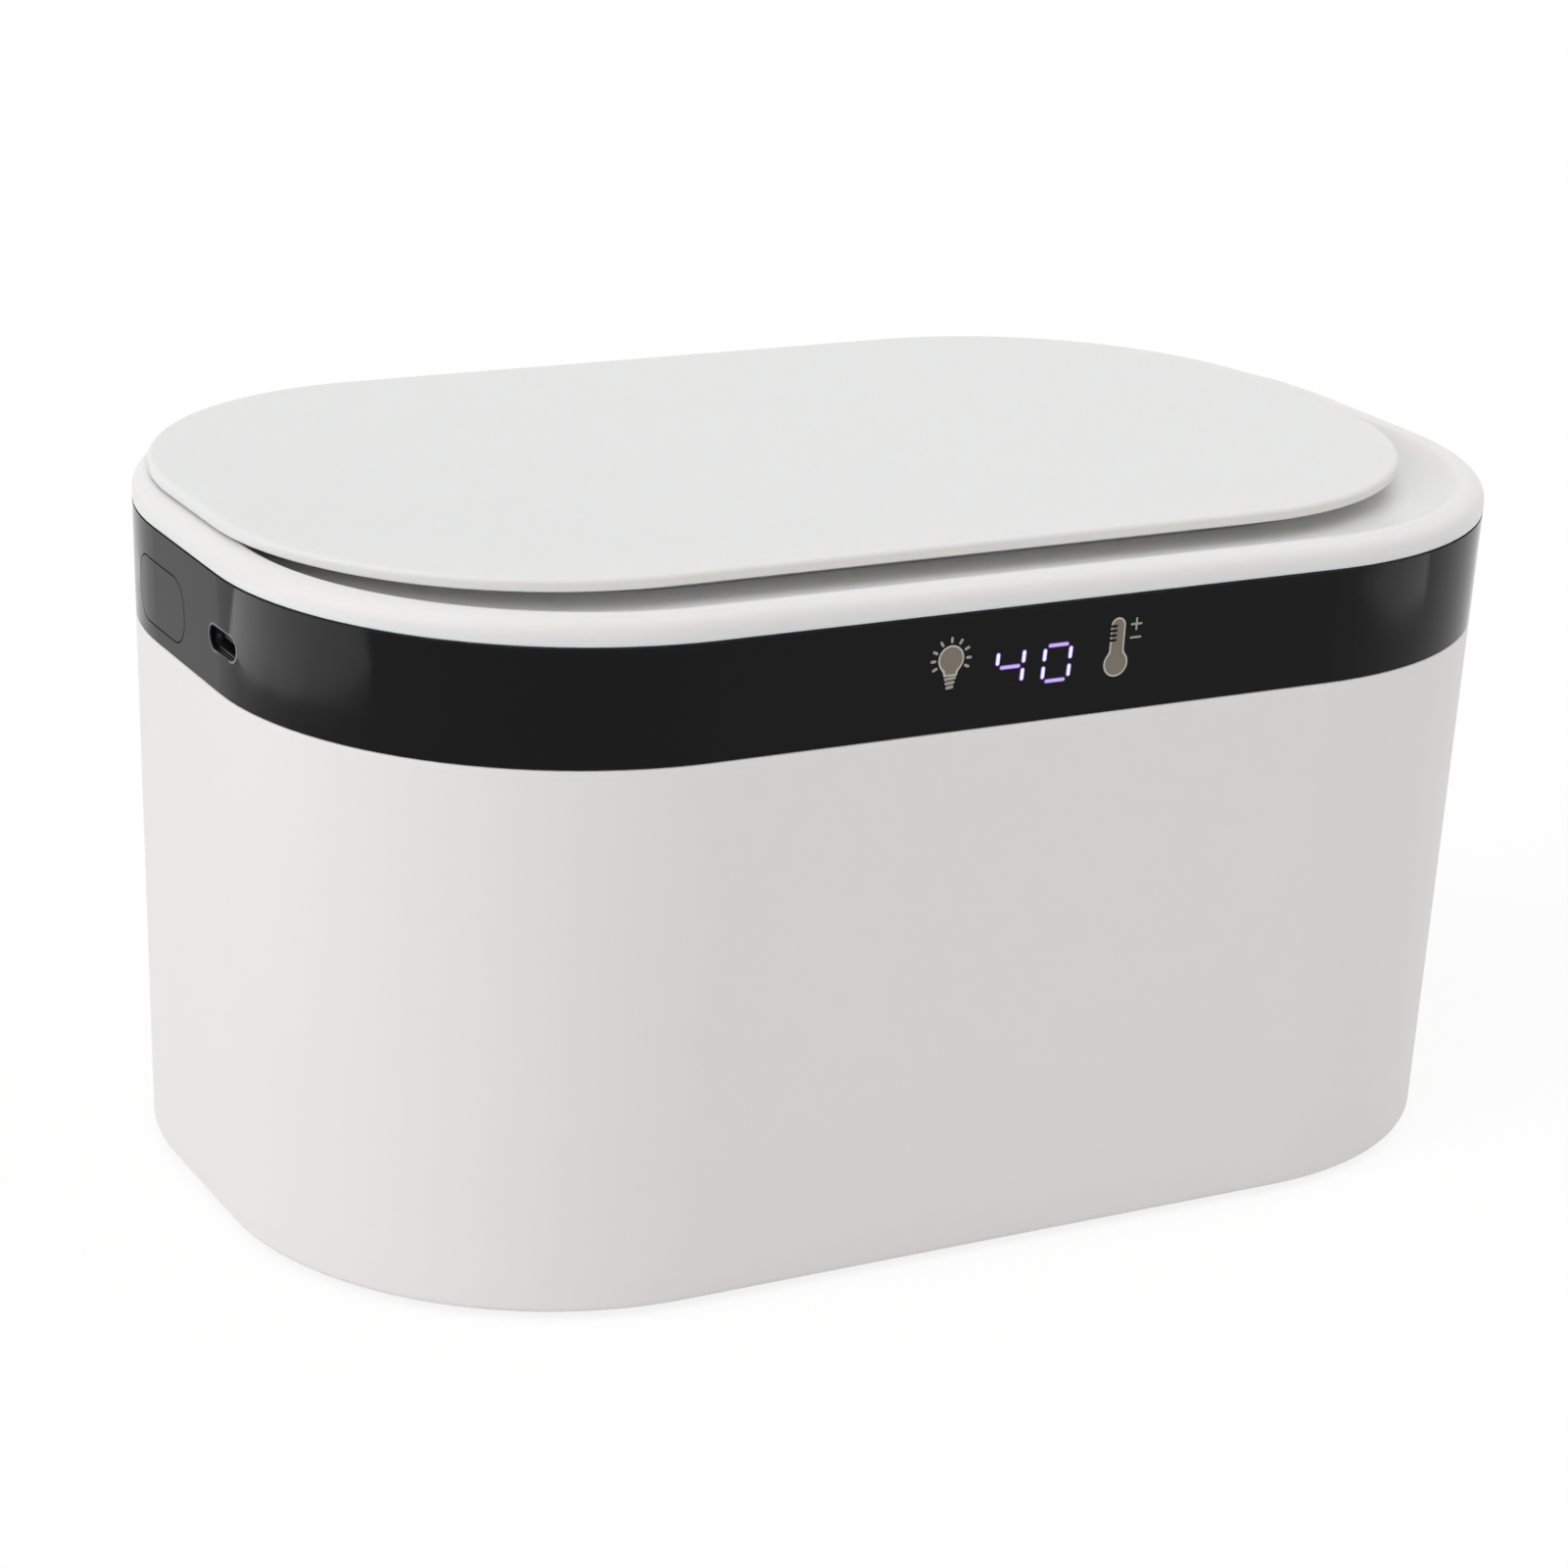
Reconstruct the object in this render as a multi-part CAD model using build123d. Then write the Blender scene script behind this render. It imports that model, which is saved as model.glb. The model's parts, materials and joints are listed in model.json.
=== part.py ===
"""Baby wipe warmer: a tapered tub with a heated bin inside and a hinged lid plate on top.

Millimetres. +Z is up, the front with the display faces -Y, and the end with the power port faces -X.
The origin is on the surface that the feet stand on, below the middle of the body.
"""

from build123d import *
import math
import os

# ---------------------------------------------------------------- outer form
BODY_LENGTH = 200.0  # outside, at the top of the control band
BODY_WIDTH = 126.5
CORNER_RADIUS = 50.7
BODY_DRAFT = 1.47  # degrees, the body narrows downwards
FOOT_PROUD = 1.0  # the feet stand this far below the shell
SHELL_HEIGHT = 80.0
BAND_HEIGHT = 16.7
RIM_HEIGHT = 4.0
RIM_EDGE_RADIUS = 2.5

# ---------------------------------------------------------------- walls and seams
SHELL_WALL = 2.2
BAND_WALL = 2.6
SPIGOT_WALL = 1.4
SPIGOT_DEPTH = 3.0  # how far the band's spigot reaches into the shell
SPIGOT_SHOULDER = 2.0  # how far the spigot is thickened up inside the band
FRAME_SPIGOT_DEPTH = 1.5
JOIN_GAP = 0.2  # clearance between a spigot and the wall round it
SEAM_HEIGHT = 0.35  # shadow line between the band and the top frame
SEAM_DEPTH = 0.8
SHELL_BOTTOM_FILLET = 1.2
SHELL_TOP_FILLET = 0.4
MOVING_GAP = 0.3  # between pieces that move past each other

# ---------------------------------------------------------------- top frame
LIP_WIDTH = 4.0
LIP_INNER_FILLET = 1.0
DISH_DEPTH = 2.5
DISH_COVE_RADIUS = 9.0
OPENING_END_MARGIN = 18.0  # between the wipe opening and the body's outside
OPENING_SIDE_MARGIN = 18.25
OPENING_CORNER_MARGIN = 12.7  # the opening's corner radius is this much under the body's
OPENING_SHIFT = 4.0  # opening and bin sit this far behind the middle
OPENING_EDGE_FILLET = 0.5
COLLAR_WALL = 1.6
COLLAR_DEPTH = 3.5

# ---------------------------------------------------------------- bin
TANK_GAP = 0.4  # round the collar
TANK_WALL = 2.0
TANK_FLOOR = 2.0
TANK_DRAFT = 1.0
TANK_CLEARANCE = 17.0  # under the bin, above the shell's bottom edge
TANK_BOTTOM_RADIUS = 6.0
TANK_FLANGE_WIDTH = 4.2
TANK_FLANGE_THICKNESS = 2.0
GASKET_THICKNESS = 1.0
GASKET_WIDTH = 1.6

# ---------------------------------------------------------------- heating
FILM_THICKNESS = 0.5
FILM_HEIGHT = 40.0
INSULATION_THICKNESS = 4.0
SPREADER_THICKNESS = 0.8
SPREADER_INSET = 0.5
BASE_INSULATION_THICKNESS = 5.0
SENSOR_SPACING = 30.0
THERMISTOR_SIZE = (6.0, 4.0, 2.4)
CUTOFF_SIZE = (10.0, 5.0, 3.0)
SENSOR_POCKET_MARGIN = 2.0
SENSOR_EDGE_FILLET = 0.8

# ---------------------------------------------------------------- lid
LID_LENGTH_MARGIN = 11.8  # the lid is this much shorter than the body
LID_WIDTH_MARGIN = 14.5
LID_CORNER_MARGIN = 3.7  # the lid's corner radius is this much under the body's
LID_SIDE_SHIFT = 3.2  # towards the port end
LID_REAR_SETBACK = 0.7  # from the hinge axis to the lid's rear edge
LID_THICKNESS = 1.8
LID_GAP = 0.3  # above the lip
LID_TOP_FILLET = 0.7
LID_UNDER_FILLET = 0.3
PLUG_CLEARANCE = 1.0
PLUG_DEPTH = 7.5
PLUG_WALL = 1.6
PLUG_EDGE_FILLET = 1.2
SEAL_OVERLAP = 2.2  # the seal reaches this far past the opening
SEAL_GAP = 0.1
LID_BOSS_RADIUS = 3.0
LID_SCREW_END_MARGIN = 22.0  # from the opening's edge to the lid's screws
LID_SCREW_SIDE_MARGIN = 20.0

# ---------------------------------------------------------------- lid hinge
HINGE_SPAN = 78.0  # over both knuckles
KNUCKLE_LENGTH = 14.0
KNUCKLE_RADIUS = 1.5
HINGE_PIN_RADIUS = 0.6
HINGE_PIN_RUN = 0.05  # running clearance of a knuckle on its pin
HINGE_PIN_GRIP = 5.0  # length held by the frame

# ---------------------------------------------------------------- power port and side button
PORT_POSITION_Y = -13.9
PORT_BELOW_BAND_TOP = 9.1
PORT_SHELL_WIDTH = 8.94
PORT_SHELL_HEIGHT = 3.26
PORT_SHELL_DEPTH = 7.35
PORT_SHELL_WALL = 0.3
PORT_RECESS = 0.9
PORT_SLOT_GAP = 0.1
PORT_SLOT_BEVEL = 45.0  # degrees
PORT_SLOT_CHAMFER = 0.25
PORT_TONGUE_WIDTH = 6.69
PORT_TONGUE_HEIGHT = 0.7
PORT_TONGUE_LENGTH = 4.45
PORT_TONGUE_RECESS = 0.9
PORT_TONGUE_ROUNDING = 0.2
BUTTON_POSITION_Y = 10.3
BUTTON_BELOW_BAND_TOP = 9.6
BUTTON_LENGTH = 19.4
BUTTON_HEIGHT = 9.8
BUTTON_CORNER_RADIUS = 4.2
BUTTON_GAP = 0.2
BUTTON_FLANGE_WIDTH = 1.2
BUTTON_FLANGE_THICKNESS = 1.0
BUTTON_TRAVEL = 0.6
STEM_RADIUS = 0.9
STEM_GAP = 0.1
STEM_SHOWING = 1.0
STEM_INSIDE = 1.0
SWITCH_SIZE = (3.6, 6.0, 3.6)
USB_BOARD_THICKNESS = 1.2
USB_BOARD_DEPTH = 7.0
USB_SHELF_LENGTH = 5.0
USB_SHELF_HEIGHT = 3.5

# ---------------------------------------------------------------- display
DISPLAY_BELOW_BAND_TOP = 8.4
DISPLAY_MODULE_SIZE = (15.0, 5.0, 9.6)
DISPLAY_SCREW_SPACING = 54.0
DISPLAY_SCREW_EDGE = 3.0  # from a screw's axis to the end of the display board
DISPLAY_BOARD_SIZE = (DISPLAY_SCREW_SPACING + 2 * DISPLAY_SCREW_EDGE, 1.2, 11.6)
DISPLAY_SIDE_SHIFT = 0.5  # the digits sit this far towards the port end
DISPLAY_SEAT_GAP = 0.2
TOUCH_SPACING = 27.4
TOUCH_PAD_RADIUS = 3.2
DISPLAY_POST_RADIUS = 2.4
LED_SIZE = (3.5, 1.9, 2.8)
LED_SPACING = 40.0

# ---------------------------------------------------------------- base and main board
BASE_RECESS = 0.4
BASE_THICKNESS = 2.4
FOOT_RADIUS = 6.0
FOOT_END_MARGIN = 32.0  # from the body's outside to a foot's middle
FOOT_SIDE_MARGIN = 27.25
FOOT_SOCKET_DEPTH = 0.8
FOOT_EDGE_FILLET = 0.4
MAIN_BOARD_SIZE = (90.0, 50.0, 1.6)
MAIN_BOARD_STANDOFF = 2.2
MAIN_BOARD_SCREW_MARGIN = 4.0
CONNECTOR_SIZE = (6.0, 9.0, 3.2)
CHIP_SIZE = (10.0, 10.0, 1.4)
COIL_RADIUS = 4.0
COIL_HEIGHT = 2.8
CAPACITOR_RADIUS = 2.5
CAPACITOR_HEIGHT = 3.4
COMPONENT_PITCH = 14.0

# ---------------------------------------------------------------- fasteners
SCREW_FIT = 0.05  # radial, round every screw shank
BASE_BOSS_RADIUS = 4.2
BASE_BOSS_GAP = 0.7  # from a base screw's head to the shell's wall
BASE_BOSS_HEIGHT = 10.0
EAR_RADIUS = 4.0
EAR_THICKNESS = 4.0
EAR_BELOW_SHELL_TOP = 7.0
FRAME_BOSS_RADIUS = 3.0
FRAME_BOSS_GAP = 0.4  # to the band's spigot
TANK_BOSS_RADIUS = 2.0
TANK_SCREW_MARGIN = 37.0  # from the opening's end to the nearer front and rear bin screws
BOARD_POST_RADIUS = 2.6
# Each screw is a shank radius, a shank length, a head radius and a head height.
BASE_SCREW = (1.3, 9.0, 2.3, 1.1)
FRAME_SCREW = (1.4, 12.0, 2.6, 1.8)
TANK_SCREW = (1.0, 4.2, 1.8, 1.4)
LID_SCREW = (1.1, 5.0, 2.0, 1.0)
BOARD_SCREW = (1.0, 3.4, 1.9, 1.2)

# ---------------------------------------------------------------- wiring
LEAD_RADIUS = 0.8
HEATER_LEAD_RADIUS = 0.7
SENSOR_LEAD_RADIUS = 0.4
LEAD_PITCH = 2.4
LEAD_BEND = 5.0
RIBBON_WIDTH = 8.0
RIBBON_THICKNESS = 0.8
RIBBON_POSITION_X = 10.0

# ---------------------------------------------------------------- levels and places worked out
DRAFT_SLOPE = math.tan(math.radians(BODY_DRAFT))
TANK_SLOPE = math.tan(math.radians(TANK_DRAFT))
SHELL_BOTTOM = FOOT_PROUD
SHELL_TOP = SHELL_BOTTOM + SHELL_HEIGHT
BAND_TOP = SHELL_TOP + BAND_HEIGHT
RIM_TOP = BAND_TOP + RIM_HEIGHT
DISH_FLOOR = RIM_TOP - DISH_DEPTH
LID_UNDER = RIM_TOP + LID_GAP
LID_TOP = LID_UNDER + LID_THICKNESS
OPENING_LENGTH = BODY_LENGTH - 2 * OPENING_END_MARGIN
OPENING_WIDTH = BODY_WIDTH - 2 * OPENING_SIDE_MARGIN
OPENING_RADIUS = CORNER_RADIUS - OPENING_CORNER_MARGIN
TANK_SCREW_SPACING = OPENING_LENGTH - 2 * TANK_SCREW_MARGIN
LID_LENGTH = BODY_LENGTH - LID_LENGTH_MARGIN
LID_WIDTH = BODY_WIDTH - LID_WIDTH_MARGIN
LID_CORNER_RADIUS = CORNER_RADIUS - LID_CORNER_MARGIN
LID_SCREW_SPACING_X = OPENING_LENGTH - 2 * LID_SCREW_END_MARGIN
LID_SCREW_SPACING_Y = OPENING_WIDTH - 2 * LID_SCREW_SIDE_MARGIN
FOOT_SPACING_X = BODY_LENGTH - 2 * FOOT_END_MARGIN
FOOT_SPACING_Y = BODY_WIDTH - 2 * FOOT_SIDE_MARGIN
HINGE_Y = BODY_WIDTH / 2 - KNUCKLE_RADIUS
HINGE_Z = RIM_TOP - KNUCKLE_RADIUS
LID_CENTRE_Y = HINGE_Y - LID_REAR_SETBACK - LID_WIDTH / 2
PLUG_BOTTOM = LID_UNDER - PLUG_DEPTH
TANK_TOP = BAND_TOP - GASKET_THICKNESS
TANK_BOTTOM = SHELL_BOTTOM + TANK_CLEARANCE
TANK_GROWTH = COLLAR_WALL + TANK_GAP  # from the opening's edge to the bin's inner wall
TANK_SCREW_GROWTH = TANK_GROWTH + TANK_WALL + TANK_FLANGE_WIDTH / 2
FILM_BOTTOM = TANK_BOTTOM + TANK_BOTTOM_RADIUS
SPREADER_BOTTOM = TANK_BOTTOM - SPREADER_THICKNESS
BASE_BOTTOM = SHELL_BOTTOM + BASE_RECESS
BASE_TOP = BASE_BOTTOM + BASE_THICKNESS
BOARD_BOTTOM = BASE_TOP + MAIN_BOARD_STANDOFF
BOARD_TOP = BOARD_BOTTOM + MAIN_BOARD_SIZE[2]
WIRE_LEVEL = BOARD_TOP + CONNECTOR_SIZE[2] / 2
PORT_Z = BAND_TOP - PORT_BELOW_BAND_TOP
BUTTON_Z = BAND_TOP - BUTTON_BELOW_BAND_TOP
DISPLAY_Z = BAND_TOP - DISPLAY_BELOW_BAND_TOP
EAR_TOP = SHELL_TOP - EAR_BELOW_SHELL_TOP
EAR_BOTTOM = EAR_TOP - EAR_THICKNESS
CORNER_CENTRE_X = BODY_LENGTH / 2 - CORNER_RADIUS
CORNER_CENTRE_Y = BODY_WIDTH / 2 - CORNER_RADIUS
CORNER_SIGNS = [(-1, -1), (1, -1), (1, 1), (-1, 1)]
LONG = BODY_LENGTH  # longer than any cut needs to be


def draw_in(z):
    """How far the drafted body has narrowed, on each side, at height z."""
    return (BAND_TOP - z) * DRAFT_SLOPE


def body_outline(inset, z):
    """The body's plan outline drawn in by inset, laid at height z."""
    length = BODY_LENGTH - 2 * inset
    width = BODY_WIDTH - 2 * inset
    return Pos(0, 0, z) * RectangleRounded(length, width, CORNER_RADIUS - inset)


def drafted(inset, low, high):
    """A block with the body's drafted sides, drawn in by inset."""
    return extrude(body_outline(inset + draw_in(low), low), high - low, taper=-BODY_DRAFT)


def upright(inset, low, high):
    """A block with the body's outline and vertical sides."""
    return extrude(body_outline(inset, low), high - low)


def opening_outline(growth, z):
    """The wipe opening's outline grown by growth, laid at height z."""
    length = OPENING_LENGTH + 2 * growth
    width = OPENING_WIDTH + 2 * growth
    return Pos(0, OPENING_SHIFT, z) * RectangleRounded(length, width, OPENING_RADIUS + growth)


def opening_block(growth, low, high):
    """A vertical block with the opening's outline."""
    return extrude(opening_outline(growth, low), high - low)


def tank_block(growth, low, high):
    """A block with the bin's drafted sides, grown from the bin's inner wall at its top."""
    narrowing = (TANK_TOP - low) * TANK_SLOPE
    return extrude(opening_outline(TANK_GROWTH + growth - narrowing, low), high - low, taper=-TANK_DRAFT)


def box_between(low, high):
    """A box from its lowest corner to its highest."""
    size = [high[i] - low[i] for i in range(3)]
    middle = [(high[i] + low[i]) / 2 for i in range(3)]
    return Pos(*middle) * Box(*size)


def rod(radius, low, high, x, y):
    """An upright cylinder."""
    return Pos(x, y, low) * extrude(Circle(radius), high - low)


def screw_up(sizes, x, y, seat):
    """A screw driven upwards: its head is under seat."""
    shank_radius, shank_length, head_radius, head_height = sizes
    shank = rod(shank_radius, seat, seat + shank_length, x, y)
    return shank + rod(head_radius, seat - head_height, seat, x, y)


def screw_down(sizes, x, y, seat):
    """A screw driven downwards: its head is on seat."""
    shank_radius, shank_length, head_radius, head_height = sizes
    shank = rod(shank_radius, seat - shank_length, seat, x, y)
    return shank + rod(head_radius, seat, seat + head_height, x, y)


def corner_point(radius, sign_x, sign_y):
    """A point on the diagonal of a body corner, at radius from the corner's centre."""
    offset = radius * math.sqrt(0.5)
    return sign_x * (CORNER_CENTRE_X + offset), sign_y * (CORNER_CENTRE_Y + offset)


def frame_boss_points():
    """Where the screws that clamp shell, band and top frame together stand."""
    inset = SHELL_WALL + JOIN_GAP + SPIGOT_WALL + FRAME_BOSS_GAP + FRAME_BOSS_RADIUS
    radius = CORNER_RADIUS - draw_in(SHELL_TOP - SPIGOT_DEPTH) - inset
    return [corner_point(radius, *signs) for signs in CORNER_SIGNS]


def base_boss_points():
    """Where the base screws stand, close to the shell's inner corners."""
    radius = CORNER_RADIUS - draw_in(BASE_BOTTOM) - SHELL_WALL - BASE_SCREW[2] - BASE_BOSS_GAP
    return [corner_point(radius, *signs) for signs in CORNER_SIGNS]


def tank_screw_points():
    """The six screws through the bin's flange: two in front, two behind and one at each end."""
    half_length = OPENING_LENGTH / 2 + TANK_SCREW_GROWTH
    half_width = OPENING_WIDTH / 2 + TANK_SCREW_GROWTH
    points = [(-half_length, OPENING_SHIFT), (half_length, OPENING_SHIFT)]
    for sign_x in (-1, 1):
        for sign_y in (-1, 1):
            points.append((sign_x * TANK_SCREW_SPACING / 2, OPENING_SHIFT + sign_y * half_width))
    return points


def grid_points(spacing_x, spacing_y, centre_y=0.0):
    """The four corners of a rectangle."""
    return [(sx * spacing_x / 2, centre_y + sy * spacing_y / 2) for sx, sy in CORNER_SIGNS]


def lid_screw_points():
    return grid_points(LID_SCREW_SPACING_X, LID_SCREW_SPACING_Y, OPENING_SHIFT)


def board_screw_points():
    return grid_points(
        MAIN_BOARD_SIZE[0] - 2 * MAIN_BOARD_SCREW_MARGIN,
        MAIN_BOARD_SIZE[1] - 2 * MAIN_BOARD_SCREW_MARGIN,
    )


def end_prism(outline, position_y, z, near, far):
    """An outline on the port end, extruded along +X from x = near to x = far."""
    plane = Plane(origin=(near, position_y, z), x_dir=(0, -1, 0), z_dir=(1, 0, 0))
    return extrude(plane * outline, far - near)


# ---------------------------------------------------------------- port end, worked out
def band_inner_x(y):
    """The X of the band's inner wall at the port end, beside y, where the wall is nearest."""
    radius = CORNER_RADIUS - draw_in(SHELL_TOP) - BAND_WALL
    past_straight = max(abs(y) - CORNER_CENTRE_Y, 0)
    return -(CORNER_CENTRE_X + math.sqrt(radius**2 - past_straight**2))


PORT_LOW_Y = PORT_POSITION_Y - PORT_SHELL_WIDTH / 2
PORT_FRONT_X = -(BODY_LENGTH / 2 - draw_in(PORT_Z)) + PORT_RECESS
PORT_FAR_X = PORT_FRONT_X + PORT_SHELL_DEPTH
FLANGE_HIGH_Y = BUTTON_POSITION_Y + BUTTON_LENGTH / 2 + BUTTON_FLANGE_WIDTH
BUTTON_BACK_X = band_inner_x(FLANGE_HIGH_Y) + MOVING_GAP + BUTTON_FLANGE_THICKNESS
USB_BOARD_TOP = PORT_Z - PORT_SHELL_HEIGHT / 2
USB_BOARD_BOTTOM = USB_BOARD_TOP - USB_BOARD_THICKNESS
USB_BOARD_LOW_Y = PORT_LOW_Y - MOVING_GAP - USB_SHELF_LENGTH
USB_BOARD_HIGH_Y = FLANGE_HIGH_Y + MOVING_GAP + USB_SHELF_LENGTH
USB_BOARD_NEAR_X = BUTTON_BACK_X + BUTTON_TRAVEL + MOVING_GAP
USB_BOARD_FAR_X = USB_BOARD_NEAR_X + USB_BOARD_DEPTH
USB_BOARD_MIDDLE_X = (USB_BOARD_NEAR_X + USB_BOARD_FAR_X) / 2
SWITCH_NEAR_X = BUTTON_BACK_X + STEM_SHOWING
STEM_FAR_X = SWITCH_NEAR_X + STEM_INSIDE


def usb_shelf_points():
    """The Y of the middle of each shelf that carries the port board."""
    return [USB_BOARD_LOW_Y + USB_SHELF_LENGTH / 2, USB_BOARD_HIGH_Y - USB_SHELF_LENGTH / 2]


# ---------------------------------------------------------------- display, worked out
DISPLAY_LOW_Z = DISPLAY_Z - DISPLAY_BOARD_SIZE[2] / 2
DISPLAY_FACE_Y = -(BODY_WIDTH / 2 - draw_in(DISPLAY_LOW_Z) - BAND_WALL - DISPLAY_SEAT_GAP)
DISPLAY_BOARD_FRONT_Y = DISPLAY_FACE_Y + DISPLAY_MODULE_SIZE[1]
DISPLAY_BOARD_BACK_Y = DISPLAY_BOARD_FRONT_Y + DISPLAY_BOARD_SIZE[1]


def front_rod(radius, x, z, near, far):
    """A cylinder along +Y from y = near to y = far."""
    plane = Plane(origin=(x, near, z), x_dir=(1, 0, 0), z_dir=(0, 1, 0))
    return extrude(plane * Circle(radius), far - near)


# ---------------------------------------------------------------- shell, band and frame
def make_outer_shell():
    outside = drafted(0, SHELL_BOTTOM, SHELL_TOP)
    outside = fillet(outside.edges().group_by(Axis.Z)[0], SHELL_BOTTOM_FILLET)
    outside = fillet(outside.edges().group_by(Axis.Z)[-1], SHELL_TOP_FILLET)
    shell = outside - drafted(SHELL_WALL, SHELL_BOTTOM, SHELL_TOP)
    skin = drafted(SHELL_WALL / 2, SHELL_BOTTOM, SHELL_TOP)
    bosses = Part()
    for x, y in base_boss_points():
        bosses += rod(BASE_BOSS_RADIUS, BASE_TOP, BASE_TOP + BASE_BOSS_HEIGHT, x, y)
    for (x, y), (sign_x, sign_y) in zip(frame_boss_points(), CORNER_SIGNS):
        bosses += rod(EAR_RADIUS, EAR_BOTTOM, EAR_TOP, x, y)
        web = Rot(0, 0, math.degrees(math.atan2(sign_y, sign_x))) * Box(
            CORNER_RADIUS, EAR_RADIUS, EAR_THICKNESS, align=(Align.MIN, Align.CENTER, Align.MIN)
        )
        bosses += Pos(x, y, EAR_BOTTOM) * web
    shell += bosses & skin
    for x, y in base_boss_points():
        shell -= rod(BASE_SCREW[0] + SCREW_FIT, BASE_TOP, BASE_TOP + BASE_BOSS_HEIGHT, x, y)
    for x, y in frame_boss_points():
        shell -= rod(FRAME_SCREW[0] + SCREW_FIT, EAR_BOTTOM, EAR_TOP, x, y)
    return shell


def make_control_band():
    band = drafted(0, SHELL_TOP, BAND_TOP)
    band += drafted(SHELL_WALL + JOIN_GAP, SHELL_TOP - SPIGOT_DEPTH, SHELL_TOP)
    band -= drafted(BAND_WALL, SHELL_TOP + SPIGOT_SHOULDER, BAND_TOP)
    spigot_inside = SHELL_WALL + JOIN_GAP + SPIGOT_WALL
    band -= drafted(spigot_inside, SHELL_TOP - SPIGOT_DEPTH, SHELL_TOP + SPIGOT_SHOULDER)
    inside = drafted(BAND_WALL / 2, SHELL_TOP, BAND_TOP)
    for sign in (-1, 1):
        x = sign * DISPLAY_SCREW_SPACING / 2
        post = front_rod(DISPLAY_POST_RADIUS, x, DISPLAY_Z, -BODY_WIDTH / 2, DISPLAY_BOARD_FRONT_Y)
        band += post & inside
    for y in usb_shelf_points():
        low = (-BODY_LENGTH / 2, y - USB_SHELF_LENGTH / 2, USB_BOARD_BOTTOM - USB_SHELF_HEIGHT)
        high = (USB_BOARD_FAR_X, y + USB_SHELF_LENGTH / 2, USB_BOARD_BOTTOM)
        band += box_between(low, high) & inside
    for sign in (-1, 1):
        x = sign * DISPLAY_SCREW_SPACING / 2
        hole_radius = BOARD_SCREW[0] + SCREW_FIT
        hole_start = DISPLAY_BOARD_BACK_Y - BOARD_SCREW[1] - SCREW_FIT
        band -= front_rod(hole_radius, x, DISPLAY_Z, hole_start, DISPLAY_BOARD_FRONT_Y)
    for y in usb_shelf_points():
        hole_low = USB_BOARD_TOP - BOARD_SCREW[1] - SCREW_FIT
        band -= rod(BOARD_SCREW[0] + SCREW_FIT, hole_low, USB_BOARD_BOTTOM, USB_BOARD_MIDDLE_X, y)
    band -= end_prism(button_outline(0), BUTTON_POSITION_Y, BUTTON_Z, -LONG, BUTTON_BACK_X)
    flange_room = button_outline(-BUTTON_FLANGE_WIDTH - MOVING_GAP)
    room_far = BUTTON_BACK_X + BUTTON_TRAVEL + MOVING_GAP
    room = end_prism(flange_room, BUTTON_POSITION_Y, BUTTON_Z, -LONG, room_far)
    band -= room & drafted(BAND_WALL, SHELL_TOP - SPIGOT_DEPTH, BAND_TOP)
    band -= end_prism(port_outline(PORT_SLOT_GAP), PORT_POSITION_Y, PORT_Z, -LONG, band_inner_x(PORT_LOW_Y))
    return band - port_bevel()


def port_outline(growth):
    """The long round-ended outline of the port, seen from the port end."""
    width = PORT_SHELL_WIDTH + 2 * growth
    height = PORT_SHELL_HEIGHT + 2 * growth
    return SlotOverall(width, height)


def port_bevel():
    """The bevel round the mouth of the port."""
    mouth_x = -(BODY_LENGTH / 2 - draw_in(PORT_Z))
    start = (mouth_x + PORT_SLOT_CHAMFER, PORT_POSITION_Y, PORT_Z)
    outline = Plane(origin=start, x_dir=(0, -1, 0), z_dir=(-1, 0, 0)) * port_outline(PORT_SLOT_GAP)
    return extrude(outline, 2 * PORT_SLOT_CHAMFER, taper=-PORT_SLOT_BEVEL)


def button_outline(inset):
    """The side button's outline, seen from the port end."""
    length = BUTTON_LENGTH - 2 * inset
    height = BUTTON_HEIGHT - 2 * inset
    return RectangleRounded(length, height, BUTTON_CORNER_RADIUS - inset)


def inner_edges_at(solid, z):
    """The edges round the hole in the level face at height z."""
    level_faces = solid.faces().filter_by(Axis.Z)
    face = min(level_faces, key=lambda f: abs(f.center().Z - z))
    return face.inner_wires()[0].edges()


def dish_hollow():
    """The shallow dish in the top frame: a flat floor that curves up to the lip all round."""
    cove_width = math.sqrt(DISH_COVE_RADIUS**2 - (DISH_COVE_RADIUS - DISH_DEPTH) ** 2)
    inset = LIP_WIDTH + cove_width - DISH_COVE_RADIUS
    hollow = upright(inset, DISH_FLOOR, RIM_TOP + DISH_COVE_RADIUS)
    return fillet(hollow.edges().group_by(Axis.Z)[0], DISH_COVE_RADIUS)


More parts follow.
